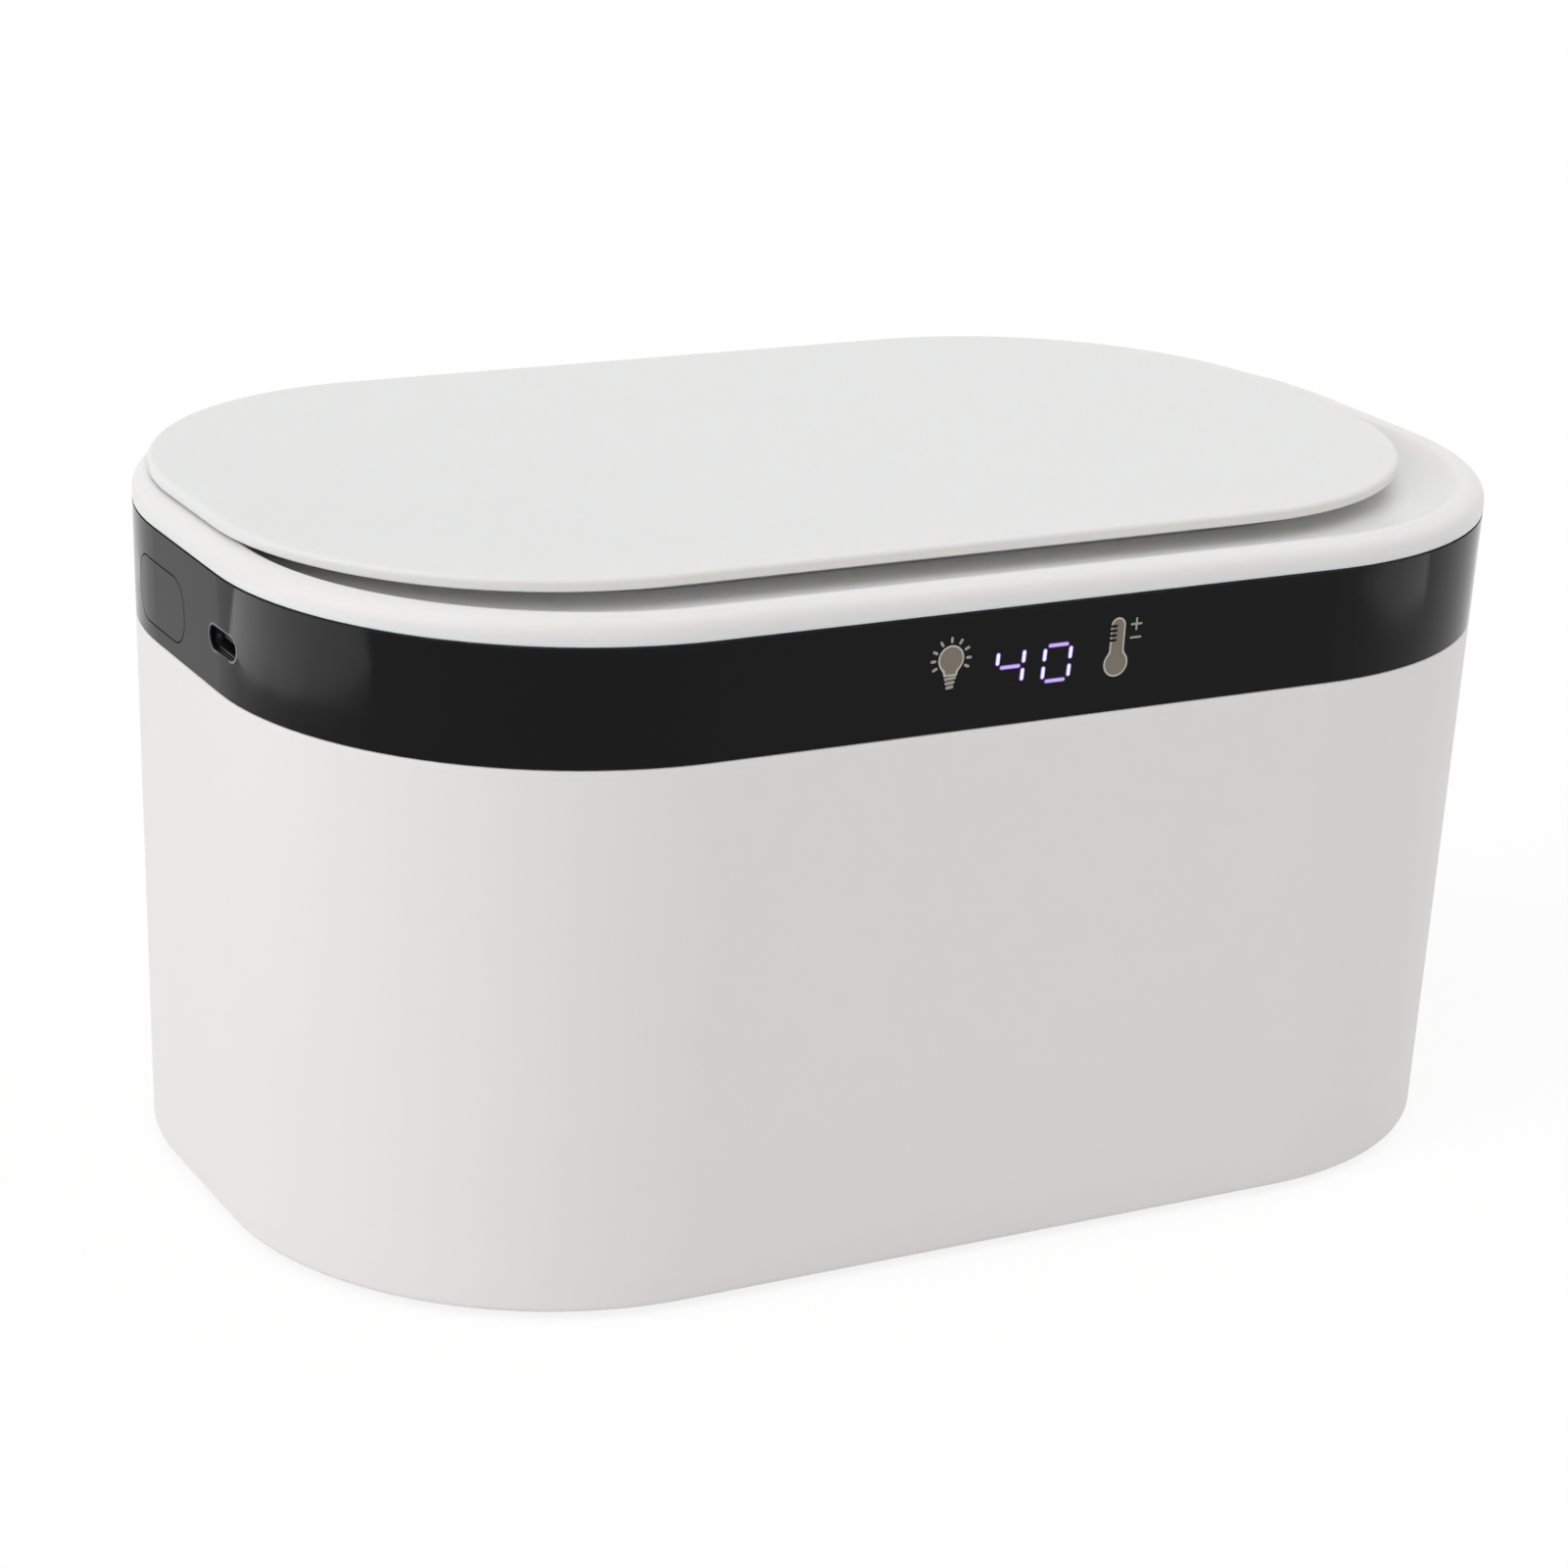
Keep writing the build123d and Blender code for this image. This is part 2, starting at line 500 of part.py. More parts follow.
def make_top_frame():
    block = upright(0, BAND_TOP, RIM_TOP)
    block = fillet(block.edges().group_by(Axis.Z)[-1], RIM_EDGE_RADIUS)
    frame = block - dish_hollow()
    frame = fillet(inner_edges_at(frame, RIM_TOP), LIP_INNER_FILLET)
    seam = upright(0, BAND_TOP, BAND_TOP + SEAM_HEIGHT)
    frame -= seam - upright(SEAM_DEPTH, BAND_TOP, BAND_TOP + SEAM_HEIGHT)
    spigot_outside = BAND_WALL + JOIN_GAP + draw_in(BAND_TOP - FRAME_SPIGOT_DEPTH)
    spigot = upright(spigot_outside, BAND_TOP - FRAME_SPIGOT_DEPTH, BAND_TOP)
    spigot -= upright(spigot_outside + SPIGOT_WALL, BAND_TOP - FRAME_SPIGOT_DEPTH, BAND_TOP)
    frame += spigot
    frame += opening_block(COLLAR_WALL, BAND_TOP - COLLAR_DEPTH, BAND_TOP)
    for x, y in tank_screw_points():
        frame += rod(TANK_BOSS_RADIUS, TANK_TOP, BAND_TOP, x, y)
    for x, y in frame_boss_points():
        frame += rod(FRAME_BOSS_RADIUS, EAR_TOP, BAND_TOP, x, y)
    frame -= opening_block(0, BAND_TOP - COLLAR_DEPTH, RIM_TOP)
    frame = fillet(inner_edges_at(frame, DISH_FLOOR), OPENING_EDGE_FILLET)
    for x, y in tank_screw_points():
        hole_top = TANK_TOP - TANK_FLANGE_THICKNESS + TANK_SCREW[1] + SCREW_FIT
        frame -= rod(TANK_SCREW[0] + SCREW_FIT, TANK_TOP, hole_top, x, y)
    for x, y in frame_boss_points():
        frame -= rod(FRAME_SCREW[0] + SCREW_FIT, EAR_TOP, EAR_BOTTOM + FRAME_SCREW[1] + SCREW_FIT, x, y)
    return frame - hinge_notch() - hinge_bores()


def hinge_rod(radius, near, far):
    """A cylinder on the hinge axis from x = near to x = far."""
    plane = Plane(origin=(near, HINGE_Y, HINGE_Z), x_dir=(0, 1, 0), z_dir=(1, 0, 0))
    return extrude(plane * Circle(radius), far - near)


def hinge_notch():
    """The space along the rear lip in which the lid's knuckles turn."""
    reach = HINGE_SPAN / 2 + MOVING_GAP
    radius = KNUCKLE_RADIUS + MOVING_GAP
    notch = hinge_rod(radius, -reach, reach)
    low = (-reach, HINGE_Y - radius, HINGE_Z)
    return notch + box_between(low, (reach, BODY_WIDTH, RIM_TOP + RIM_HEIGHT))


def hinge_bores():
    """The two blind holes that hold the pins, one at each end of the notch."""
    reach = HINGE_SPAN / 2 + HINGE_PIN_GRIP
    return hinge_rod(HINGE_PIN_RADIUS, -reach, reach)


def make_hinge_pins():
    start = HINGE_SPAN / 2 - KNUCKLE_LENGTH
    end = HINGE_SPAN / 2 + HINGE_PIN_GRIP
    return [hinge_rod(HINGE_PIN_RADIUS, -end, -start), hinge_rod(HINGE_PIN_RADIUS, start, end)]


# ---------------------------------------------------------------- lid
def lid_outline(z):
    return Pos(-LID_SIDE_SHIFT, LID_CENTRE_Y, z) * RectangleRounded(LID_LENGTH, LID_WIDTH, LID_CORNER_RADIUS)


def make_lid_panel():
    lid = extrude(lid_outline(LID_UNDER), LID_THICKNESS)
    lid = fillet(lid.edges().group_by(Axis.Z)[-1], LID_TOP_FILLET)
    lid = fillet(lid.edges().group_by(Axis.Z)[0], LID_UNDER_FILLET)
    for sign in (-1, 1):
        near = sign * (HINGE_SPAN - KNUCKLE_LENGTH) / 2 - KNUCKLE_LENGTH / 2
        far = near + KNUCKLE_LENGTH
        knuckle = hinge_rod(KNUCKLE_RADIUS, near, far)
        low = (near, HINGE_Y - KNUCKLE_RADIUS, HINGE_Z)
        knuckle += box_between(low, (far, HINGE_Y, LID_UNDER + LID_THICKNESS / 2))
        lid += knuckle - hinge_rod(HINGE_PIN_RADIUS + HINGE_PIN_RUN, near, far)
    hole_top = PLUG_BOTTOM + LID_SCREW[3] + LID_SCREW[1] + SCREW_FIT
    for x, y in lid_screw_points():
        lid += rod(LID_BOSS_RADIUS, PLUG_BOTTOM + PLUG_WALL, LID_UNDER, x, y)
        lid -= rod(LID_SCREW[0] + SCREW_FIT, PLUG_BOTTOM, hole_top, x, y)
    return lid


def make_lid_liner():
    liner = opening_block(-PLUG_CLEARANCE, PLUG_BOTTOM, LID_UNDER)
    liner = fillet(liner.edges().group_by(Axis.Z)[0], PLUG_EDGE_FILLET)
    liner -= opening_block(-PLUG_CLEARANCE - PLUG_WALL, PLUG_BOTTOM + PLUG_WALL, LID_UNDER)
    for x, y in lid_screw_points():
        liner -= rod(LID_SCREW[0] + SCREW_FIT, PLUG_BOTTOM, PLUG_BOTTOM + PLUG_WALL, x, y)
        liner -= rod(LID_SCREW[2] + SCREW_FIT, PLUG_BOTTOM, PLUG_BOTTOM + LID_SCREW[3], x, y)
    return liner


def make_lid_insulation():
    foam = opening_block(-PLUG_CLEARANCE - PLUG_WALL - JOIN_GAP, PLUG_BOTTOM + PLUG_WALL, LID_UNDER)
    for x, y in lid_screw_points():
        foam -= rod(LID_BOSS_RADIUS + JOIN_GAP, PLUG_BOTTOM, LID_UNDER, x, y)
    return foam


def make_lid_seal():
    seal = opening_block(SEAL_OVERLAP, DISH_FLOOR + SEAL_GAP, LID_UNDER)
    return seal - opening_block(-PLUG_CLEARANCE, DISH_FLOOR + SEAL_GAP, LID_UNDER)


def make_lid_screws():
    seat = PLUG_BOTTOM + LID_SCREW[3]
    return [screw_up(LID_SCREW, x, y, seat) for x, y in lid_screw_points()]


# ---------------------------------------------------------------- bin and heating
def make_inner_tank():
    tank = tank_block(TANK_WALL, TANK_BOTTOM, TANK_TOP)
    tank = fillet(tank.edges().group_by(Axis.Z)[0], TANK_BOTTOM_RADIUS)
    flange_low = TANK_TOP - TANK_FLANGE_THICKNESS
    tank += opening_block(TANK_GROWTH + TANK_WALL + TANK_FLANGE_WIDTH, flange_low, TANK_TOP)
    hollow = tank_block(0, TANK_BOTTOM + TANK_FLOOR, TANK_TOP)
    hollow = fillet(hollow.edges().group_by(Axis.Z)[0], TANK_BOTTOM_RADIUS - TANK_WALL)
    tank -= hollow
    for x, y in tank_screw_points():
        tank -= rod(TANK_SCREW[0] + SCREW_FIT, flange_low, TANK_TOP, x, y)
    for x, y in frame_boss_points():
        tank -= rod(FRAME_BOSS_RADIUS + FRAME_BOSS_GAP, flange_low, TANK_TOP, x, y)
    return tank


def make_tank_gasket():
    gasket = opening_block(TANK_GROWTH + GASKET_WIDTH, TANK_TOP, BAND_TOP)
    return gasket - opening_block(TANK_GROWTH, TANK_TOP, BAND_TOP)


def make_tank_screws():
    seat = TANK_TOP - TANK_FLANGE_THICKNESS
    return [screw_up(TANK_SCREW, x, y, seat) for x, y in tank_screw_points()]


def tank_sleeve(inside, thickness):
    """A drafted sleeve round the bin, as tall as the heating film."""
    top = FILM_BOTTOM + FILM_HEIGHT
    return tank_block(inside + thickness, FILM_BOTTOM, top) - tank_block(inside, FILM_BOTTOM, top)


def spreader_block(low, high):
    """A block with the outline of the bin's flat bottom."""
    narrowing = (TANK_TOP - TANK_BOTTOM) * TANK_SLOPE
    growth = TANK_GROWTH + TANK_WALL - narrowing - TANK_BOTTOM_RADIUS - SPREADER_INSET
    return opening_block(growth, low, high)


def sensor_block(size, sign, margin):
    """A sensor's block against the heat spreader, grown sideways by margin."""
    x = sign * SENSOR_SPACING / 2
    low = (x - size[0] / 2 - margin, -size[1] / 2 - margin, SPREADER_BOTTOM - size[2])
    return box_between(low, (x + size[0] / 2 + margin, size[1] / 2 + margin, SPREADER_BOTTOM))


def make_sensor(size, sign):
    block = sensor_block(size, sign, 0)
    return fillet(block.edges().filter_by(Axis.X), SENSOR_EDGE_FILLET)


def make_base_insulation():
    low = SPREADER_BOTTOM - BASE_INSULATION_THICKNESS
    foam = spreader_block(low, SPREADER_BOTTOM)
    for size, sign in ((THERMISTOR_SIZE, -1), (CUTOFF_SIZE, 1)):
        pocket = (size[0], size[1], BASE_INSULATION_THICKNESS)
        foam -= sensor_block(pocket, sign, SENSOR_POCKET_MARGIN)
    return foam


# ---------------------------------------------------------------- port end
def make_usb_shell():
    place = (PORT_POSITION_Y, PORT_Z, PORT_FRONT_X, PORT_FAR_X)
    return end_prism(port_outline(0), *place) - end_prism(port_outline(-PORT_SHELL_WALL), *place)


def make_usb_insert():
    back = PORT_FRONT_X + PORT_TONGUE_RECESS + PORT_TONGUE_LENGTH
    insert = end_prism(port_outline(-PORT_SHELL_WALL), PORT_POSITION_Y, PORT_Z, back, PORT_FAR_X)
    tongue = RectangleRounded(PORT_TONGUE_WIDTH, PORT_TONGUE_HEIGHT, PORT_TONGUE_ROUNDING)
    return insert + end_prism(tongue, PORT_POSITION_Y, PORT_Z, back - PORT_TONGUE_LENGTH, back)


def make_usb_board():
    low = (USB_BOARD_NEAR_X, USB_BOARD_LOW_Y, USB_BOARD_BOTTOM)
    board = box_between(low, (USB_BOARD_FAR_X, USB_BOARD_HIGH_Y, USB_BOARD_TOP))
    for y in usb_shelf_points():
        board -= rod(BOARD_SCREW[0] + SCREW_FIT, USB_BOARD_BOTTOM, USB_BOARD_TOP, USB_BOARD_MIDDLE_X, y)
    return board


def make_usb_board_screws():
    return [screw_down(BOARD_SCREW, USB_BOARD_MIDDLE_X, y, USB_BOARD_TOP) for y in usb_shelf_points()]


def make_power_button():
    cap = end_prism(button_outline(BUTTON_GAP), BUTTON_POSITION_Y, BUTTON_Z, -LONG, BUTTON_BACK_X)
    cap = cap & drafted(0, SHELL_TOP, BAND_TOP)
    flange_near = BUTTON_BACK_X - BUTTON_FLANGE_THICKNESS
    flange = button_outline(-BUTTON_FLANGE_WIDTH)
    return cap + end_prism(flange, BUTTON_POSITION_Y, BUTTON_Z, flange_near, BUTTON_BACK_X)


def make_switch_body():
    depth, width, height = SWITCH_SIZE
    low = (SWITCH_NEAR_X, BUTTON_POSITION_Y - width / 2, USB_BOARD_TOP)
    body = box_between(low, (SWITCH_NEAR_X + depth, BUTTON_POSITION_Y + width / 2, USB_BOARD_TOP + height))
    bore_end = STEM_FAR_X + BUTTON_TRAVEL + MOVING_GAP
    bore = Circle(STEM_RADIUS + STEM_GAP)
    return body - end_prism(bore, BUTTON_POSITION_Y, BUTTON_Z, SWITCH_NEAR_X, bore_end)


def make_switch_stem():
    return end_prism(Circle(STEM_RADIUS), BUTTON_POSITION_Y, BUTTON_Z, BUTTON_BACK_X, STEM_FAR_X)


# ---------------------------------------------------------------- display
def display_box(size, x, near):
    """A box centred on the display's height, from y = near backwards."""
    low = (x - size[0] / 2, near, DISPLAY_Z - size[2] / 2)
    return box_between(low, (x + size[0] / 2, near + size[1], DISPLAY_Z + size[2] / 2))


def make_display_board():
    board = display_box(DISPLAY_BOARD_SIZE, 0, DISPLAY_BOARD_FRONT_Y)
    for sign in (-1, 1):
        x = sign * DISPLAY_SCREW_SPACING / 2
        radius = BOARD_SCREW[0] + SCREW_FIT
        board -= front_rod(radius, x, DISPLAY_Z, DISPLAY_BOARD_FRONT_Y, DISPLAY_BOARD_BACK_Y)
    return board


def make_display_screws():
    screws = []
    for sign in (-1, 1):
        x = sign * DISPLAY_SCREW_SPACING / 2
        shank_radius, shank_length, head_radius, head_height = BOARD_SCREW
        tip = DISPLAY_BOARD_BACK_Y - shank_length
        shank = front_rod(shank_radius, x, DISPLAY_Z, tip, DISPLAY_BOARD_BACK_Y)
        head = front_rod(head_radius, x, DISPLAY_Z, DISPLAY_BOARD_BACK_Y, DISPLAY_BOARD_BACK_Y + head_height)
        screws.append(shank + head)
    return screws


def make_touch_pads():
    pads = []
    for sign in (-1, 1):
        x = sign * TOUCH_SPACING / 2
        pads.append(front_rod(TOUCH_PAD_RADIUS, x, DISPLAY_Z, DISPLAY_FACE_Y, DISPLAY_BOARD_FRONT_Y))
    return pads


def make_display_leds():
    near = DISPLAY_BOARD_FRONT_Y - LED_SIZE[1]
    return [display_box(LED_SIZE, sign * LED_SPACING / 2, near) for sign in (-1, 1)]


# ---------------------------------------------------------------- base and main board
def make_base_plate():
    plate = drafted(SHELL_WALL + JOIN_GAP, BASE_BOTTOM, BASE_TOP)
    for x, y in board_screw_points():
        plate += rod(BOARD_POST_RADIUS, BASE_TOP, BOARD_BOTTOM, x, y)
    for x, y in base_boss_points():
        plate -= rod(BASE_SCREW[0] + SCREW_FIT, BASE_BOTTOM, BASE_TOP, x, y)
        plate -= rod(BASE_SCREW[2] + SCREW_FIT, BASE_BOTTOM, BASE_BOTTOM + BASE_SCREW[3], x, y)
    for x, y in grid_points(FOOT_SPACING_X, FOOT_SPACING_Y):
        plate -= rod(FOOT_RADIUS, BASE_BOTTOM, BASE_BOTTOM + FOOT_SOCKET_DEPTH, x, y)
    for x, y in board_screw_points():
        plate -= rod(BOARD_SCREW[0] + SCREW_FIT, BOARD_TOP - BOARD_SCREW[1] - SCREW_FIT, BOARD_BOTTOM, x, y)
    return plate


def make_base_screws():
    seat = BASE_BOTTOM + BASE_SCREW[3]
    return [screw_up(BASE_SCREW, x, y, seat) for x, y in base_boss_points()]


def make_frame_screws():
    return [screw_up(FRAME_SCREW, x, y, EAR_BOTTOM) for x, y in frame_boss_points()]


def make_rubber_feet():
    feet = []
    for x, y in grid_points(FOOT_SPACING_X, FOOT_SPACING_Y):
        foot = rod(FOOT_RADIUS, 0, BASE_BOTTOM + FOOT_SOCKET_DEPTH, x, y)
        feet.append(fillet(foot.edges().group_by(Axis.Z)[0], FOOT_EDGE_FILLET))
    return feet


def make_main_board():
    half_x = MAIN_BOARD_SIZE[0] / 2
    half_y = MAIN_BOARD_SIZE[1] / 2
    board = box_between((-half_x, -half_y, BOARD_BOTTOM), (half_x, half_y, BOARD_TOP))
    for x, y in board_screw_points():
        board -= rod(BOARD_SCREW[0] + SCREW_FIT, BOARD_BOTTOM, BOARD_TOP, x, y)
    return board


def make_board_screws():
    return [screw_down(BOARD_SCREW, x, y, BOARD_TOP) for x, y in board_screw_points()]


def standing_box(size, x, y):
    """A box standing on the main board."""
    low = (x - size[0] / 2, y - size[1] / 2, BOARD_TOP)
    return box_between(low, (x + size[0] / 2, y + size[1] / 2, BOARD_TOP + size[2]))


def make_main_board_parts():
    edge_x = (MAIN_BOARD_SIZE[0] - CONNECTOR_SIZE[0]) / 2
    edge_y = (MAIN_BOARD_SIZE[1] - CONNECTOR_SIZE[0]) / 2
    turned = (CONNECTOR_SIZE[1], CONNECTOR_SIZE[0], CONNECTOR_SIZE[2])
    row_y = COMPONENT_PITCH
    return [
        standing_box(CONNECTOR_SIZE, -edge_x, 0),
        standing_box(CONNECTOR_SIZE, edge_x, 0),
        standing_box(turned, RIBBON_POSITION_X, -edge_y),
        standing_box(CHIP_SIZE, 0, row_y),
        rod(COIL_RADIUS, BOARD_TOP, BOARD_TOP + COIL_HEIGHT, -COMPONENT_PITCH, row_y),
        rod(CAPACITOR_RADIUS, BOARD_TOP, BOARD_TOP + CAPACITOR_HEIGHT, COMPONENT_PITCH, row_y),
        rod(CAPACITOR_RADIUS, BOARD_TOP, BOARD_TOP + CAPACITOR_HEIGHT, -COMPONENT_PITCH, -row_y),
    ]


# ---------------------------------------------------------------- wiring
def swept(outline, points, bend):
    """A lead or ribbon along straight runs joined by round bends."""
    path = FilletPolyline(*points, radius=bend)
    start = Plane(origin=path @ 0, z_dir=path % 0)
    return sweep(start * outline, path=path)


def sleeve_half_length(z):
    """Half the length of the insulation sleeve at height z."""
    growth = TANK_GROWTH + TANK_WALL + FILM_THICKNESS + INSULATION_THICKNESS
    return OPENING_LENGTH / 2 + growth - (TANK_TOP - z) * TANK_SLOPE


def make_power_leads():
    x = -(sleeve_half_length(FILM_BOTTOM + FILM_HEIGHT) + JOIN_GAP + LEAD_RADIUS)
    end_x = -MAIN_BOARD_SIZE[0] / 2
    leads = []
    for sign in (-1, 1):
        y = sign * LEAD_PITCH / 2
        points = [(x, y, USB_BOARD_BOTTOM), (x, y, WIRE_LEVEL), (end_x, y, WIRE_LEVEL)]
        leads.append(swept(Circle(LEAD_RADIUS), points, LEAD_BEND))
    return leads


def make_heater_leads():
    film_outside = sleeve_half_length(FILM_BOTTOM) - INSULATION_THICKNESS
    x = film_outside - FILM_THICKNESS / 2 + HEATER_LEAD_RADIUS
    start_x = MAIN_BOARD_SIZE[0] / 2
    leads = []
    for sign in (-1, 1):
        y = sign * LEAD_PITCH / 2
        points = [(start_x, y, WIRE_LEVEL), (x, y, WIRE_LEVEL), (x, y, FILM_BOTTOM)]
        leads.append(swept(Circle(HEATER_LEAD_RADIUS), points, LEAD_BEND))
    return leads


def make_sensor_leads():
    leads = []
    for size, sign in ((THERMISTOR_SIZE, -1), (CUTOFF_SIZE, 1)):
        for side in (-1, 1):
            x = sign * SENSOR_SPACING / 2 + side * LEAD_PITCH / 2
            leads.append(rod(SENSOR_LEAD_RADIUS, BOARD_TOP, SPREADER_BOTTOM - size[2], x, 0))
    return leads


def make_display_cable():
    y = DISPLAY_BOARD_BACK_Y + RIBBON_THICKNESS / 2
    end_y = -MAIN_BOARD_SIZE[1] / 2
    x = RIBBON_POSITION_X
    path = FilletPolyline((x, y, DISPLAY_Z), (x, y, WIRE_LEVEL), (x, end_y, WIRE_LEVEL), radius=LEAD_BEND)
    start = Plane(origin=(x, y, DISPLAY_Z), x_dir=(1, 0, 0), z_dir=(0, 0, -1))
    return sweep(start * Rectangle(RIBBON_WIDTH, RIBBON_THICKNESS), path=path)


# ---------------------------------------------------------------- write every node
def make_all():
    return {
        "outer_shell": make_outer_shell(),
        "control_band": make_control_band(),
        "top_frame": make_top_frame(),
        "hinge_pins": make_hinge_pins(),
        "lid_panel": make_lid_panel(),
        "lid_liner": make_lid_liner(),
        "lid_insulation": make_lid_insulation(),
        "lid_seal": make_lid_seal(),
        "lid_screws": make_lid_screws(),
        "inner_tank": make_inner_tank(),
        "tank_gasket": make_tank_gasket(),
        "tank_screws": make_tank_screws(),
        "heating_film": tank_sleeve(TANK_WALL, FILM_THICKNESS),
        "insulation_sleeve": tank_sleeve(TANK_WALL + FILM_THICKNESS, INSULATION_THICKNESS),
        "heat_spreader": spreader_block(SPREADER_BOTTOM, TANK_BOTTOM),
        "base_insulation": make_base_insulation(),
        "thermistor": make_sensor(THERMISTOR_SIZE, -1),
        "thermal_cutoff": make_sensor(CUTOFF_SIZE, 1),
        "usb_shell": make_usb_shell(),
        "usb_insert": make_usb_insert(),
        "usb_board": make_usb_board(),
        "usb_board_screws": make_usb_board_screws(),
        "power_button": make_power_button(),
        "switch_body": make_switch_body(),
        "switch_stem": make_switch_stem(),
        "display_module": display_box(DISPLAY_MODULE_SIZE, -DISPLAY_SIDE_SHIFT, DISPLAY_FACE_Y),
        "display_board": make_display_board(),
        "display_screws": make_display_screws(),
        "display_leds": make_display_leds(),
        "touch_pads": make_touch_pads(),
        "base_plate": make_base_plate(),
        "base_screws": make_base_screws(),
        "frame_screws": make_frame_screws(),
        "rubber_feet": make_rubber_feet(),
        "main_board": make_main_board(),
        "board_screws": make_board_screws(),
        "main_board_parts": make_main_board_parts(),
        "power_leads": make_power_leads(),
        "heater_leads": make_heater_leads(),
        "sensor_leads": make_sensor_leads(),
        "display_cable": make_display_cable(),
    }


os.makedirs("parts", exist_ok=True)
for node, shape in make_all().items():
    solids = shape if isinstance(shape, list) else [shape]
    export_step(Compound(children=[s for group in solids for s in group.solids()]), f"parts/{node}.step")
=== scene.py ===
"""The looks of the baby wipe warmer: satin white plastic, a polished black band with its lit digits and icons,
a plain pale floor, soft studio light and a camera at the front left."""

import json
import math

import bmesh
import bpy
from mathutils import Matrix, Vector


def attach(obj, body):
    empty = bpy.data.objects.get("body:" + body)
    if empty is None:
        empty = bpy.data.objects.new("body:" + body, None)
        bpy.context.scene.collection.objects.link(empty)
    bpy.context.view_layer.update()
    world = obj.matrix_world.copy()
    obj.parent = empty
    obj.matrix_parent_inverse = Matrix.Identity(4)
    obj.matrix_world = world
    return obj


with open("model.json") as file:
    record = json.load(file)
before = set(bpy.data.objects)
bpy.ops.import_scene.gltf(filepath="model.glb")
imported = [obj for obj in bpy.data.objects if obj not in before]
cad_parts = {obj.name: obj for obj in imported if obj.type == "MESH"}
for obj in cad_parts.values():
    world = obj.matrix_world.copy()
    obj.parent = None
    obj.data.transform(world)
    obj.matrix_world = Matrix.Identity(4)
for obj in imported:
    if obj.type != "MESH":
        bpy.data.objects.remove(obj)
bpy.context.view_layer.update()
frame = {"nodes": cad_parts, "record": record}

MM = 0.001  # one millimetre in metres

# ---------------------------------------------------------------- sizes repeated from part.py, in millimetres
BODY_LENGTH = 200.0
BODY_WIDTH = 126.5
CORNER_RADIUS = 50.7
BODY_DRAFT = 1.47  # degrees
BAND_TOP = 97.7
PORT_Y = -13.9
PORT_Z = 88.6
PORT_WIDTH = 8.94
PORT_HEIGHT = 3.26

# ---------------------------------------------------------------- camera
CAMERA_PLACE = (-290.15, -520.62, 258.39)  # millimetres
CAMERA_RIGHT = (0.88262845, -0.46813876, 0.04258077)
CAMERA_UP = (0.11857873, 0.30938797, 0.94351374)
CAMERA_BACK = (-0.45486933, -0.82772289, 0.32858592)
CAMERA_LENS = 94.97
CAMERA_NEAR = 0.01  # metres
CAMERA_FAR = 50.0
SENSOR = 36.0

# ---------------------------------------------------------------- light
AMBIENT = 0.45  # of the world, for everything that isn't a view or a reflection
SUN_WIDTH = 60.0  # degrees
# Each soft sun is its share of white, where it stands round the object and how high, in degrees. The front is 0
# and the port end is 90.
SUNS = {
    "top_light": (0.112, 0.0, 85.0),
    "front_left_light": (0.071, 45.0, 50.0),
    "left_light": (0.103, 90.0, 50.0),
    "low_left_light": (0.252, 90.0, 15.0),
    "right_light": (0.142, -90.0, 50.0),
}
FLOOR_REACH = 6.0  # metres
FLOOR_SHADE = 0.90  # how pale the floor is for the light that it throws back
FLOOR_SHADOW = 0.18  # how much of the object's shadow the floor shows
FLOOR_WHITE = 1.025  # of the floor as it is seen, which makes up for the part of it that is lit
# Bright sheets that lie round the object and show in its polish alone: how bright, and the corners in millimetres.
SHEETS = {
    "left_sheet": (3.3, (
        (-332.0, -67.0), (-316.0, 42.0), (-287.0, 120.0), (-222.0, 215.0), (-345.0, 262.0), (-450.0, -30.0),
    )),
    "right_sheet": (2.2, (
        (255.0, -270.0), (300.0, -183.0), (350.0, -103.0), (395.0, -112.0), (345.0, -215.0),
    )),
}
SHEET_HEIGHT = 1.0  # millimetres over the floor

# ---------------------------------------------------------------- materials
WHITE = (1.0, 1.0, 1.0, 1.0)
SKIN_RADIUS = (1.0, 0.62, 0.42)  # how far red, green and blue light wander inside white plastic
SKIN_DEPTH = 2.0 * MM
FINE_DETAIL = 3.0  # of the noise in the gloss and the height
BROAD_DETAIL = 2.0  # of the noise in the colour
BROAD_GRAIN = 1 / 40  # of the fine noise's scale
GLOSS_SPREAD = 0.04  # how far the roughness strays, up and down
LEAST_ROUGHNESS = 0.02
BUMP_DEPTH = 0.2 * MM
LIGHT_STRENGTH = 1.0  # of a lit mark
LIGHT_SPREAD = 0.1  # how far it strays, up and down
LIGHT_GRAIN = 1500.0  # scale of the noise that it strays by
LIGHT_ROUGHNESS = 0.4
LIGHT_SPECULAR = 0.1


def nodes_of(material):
    """The emptied node tree of a material or a world."""
    material.use_nodes = True
    tree = material.node_tree
    tree.nodes.clear()
    return tree


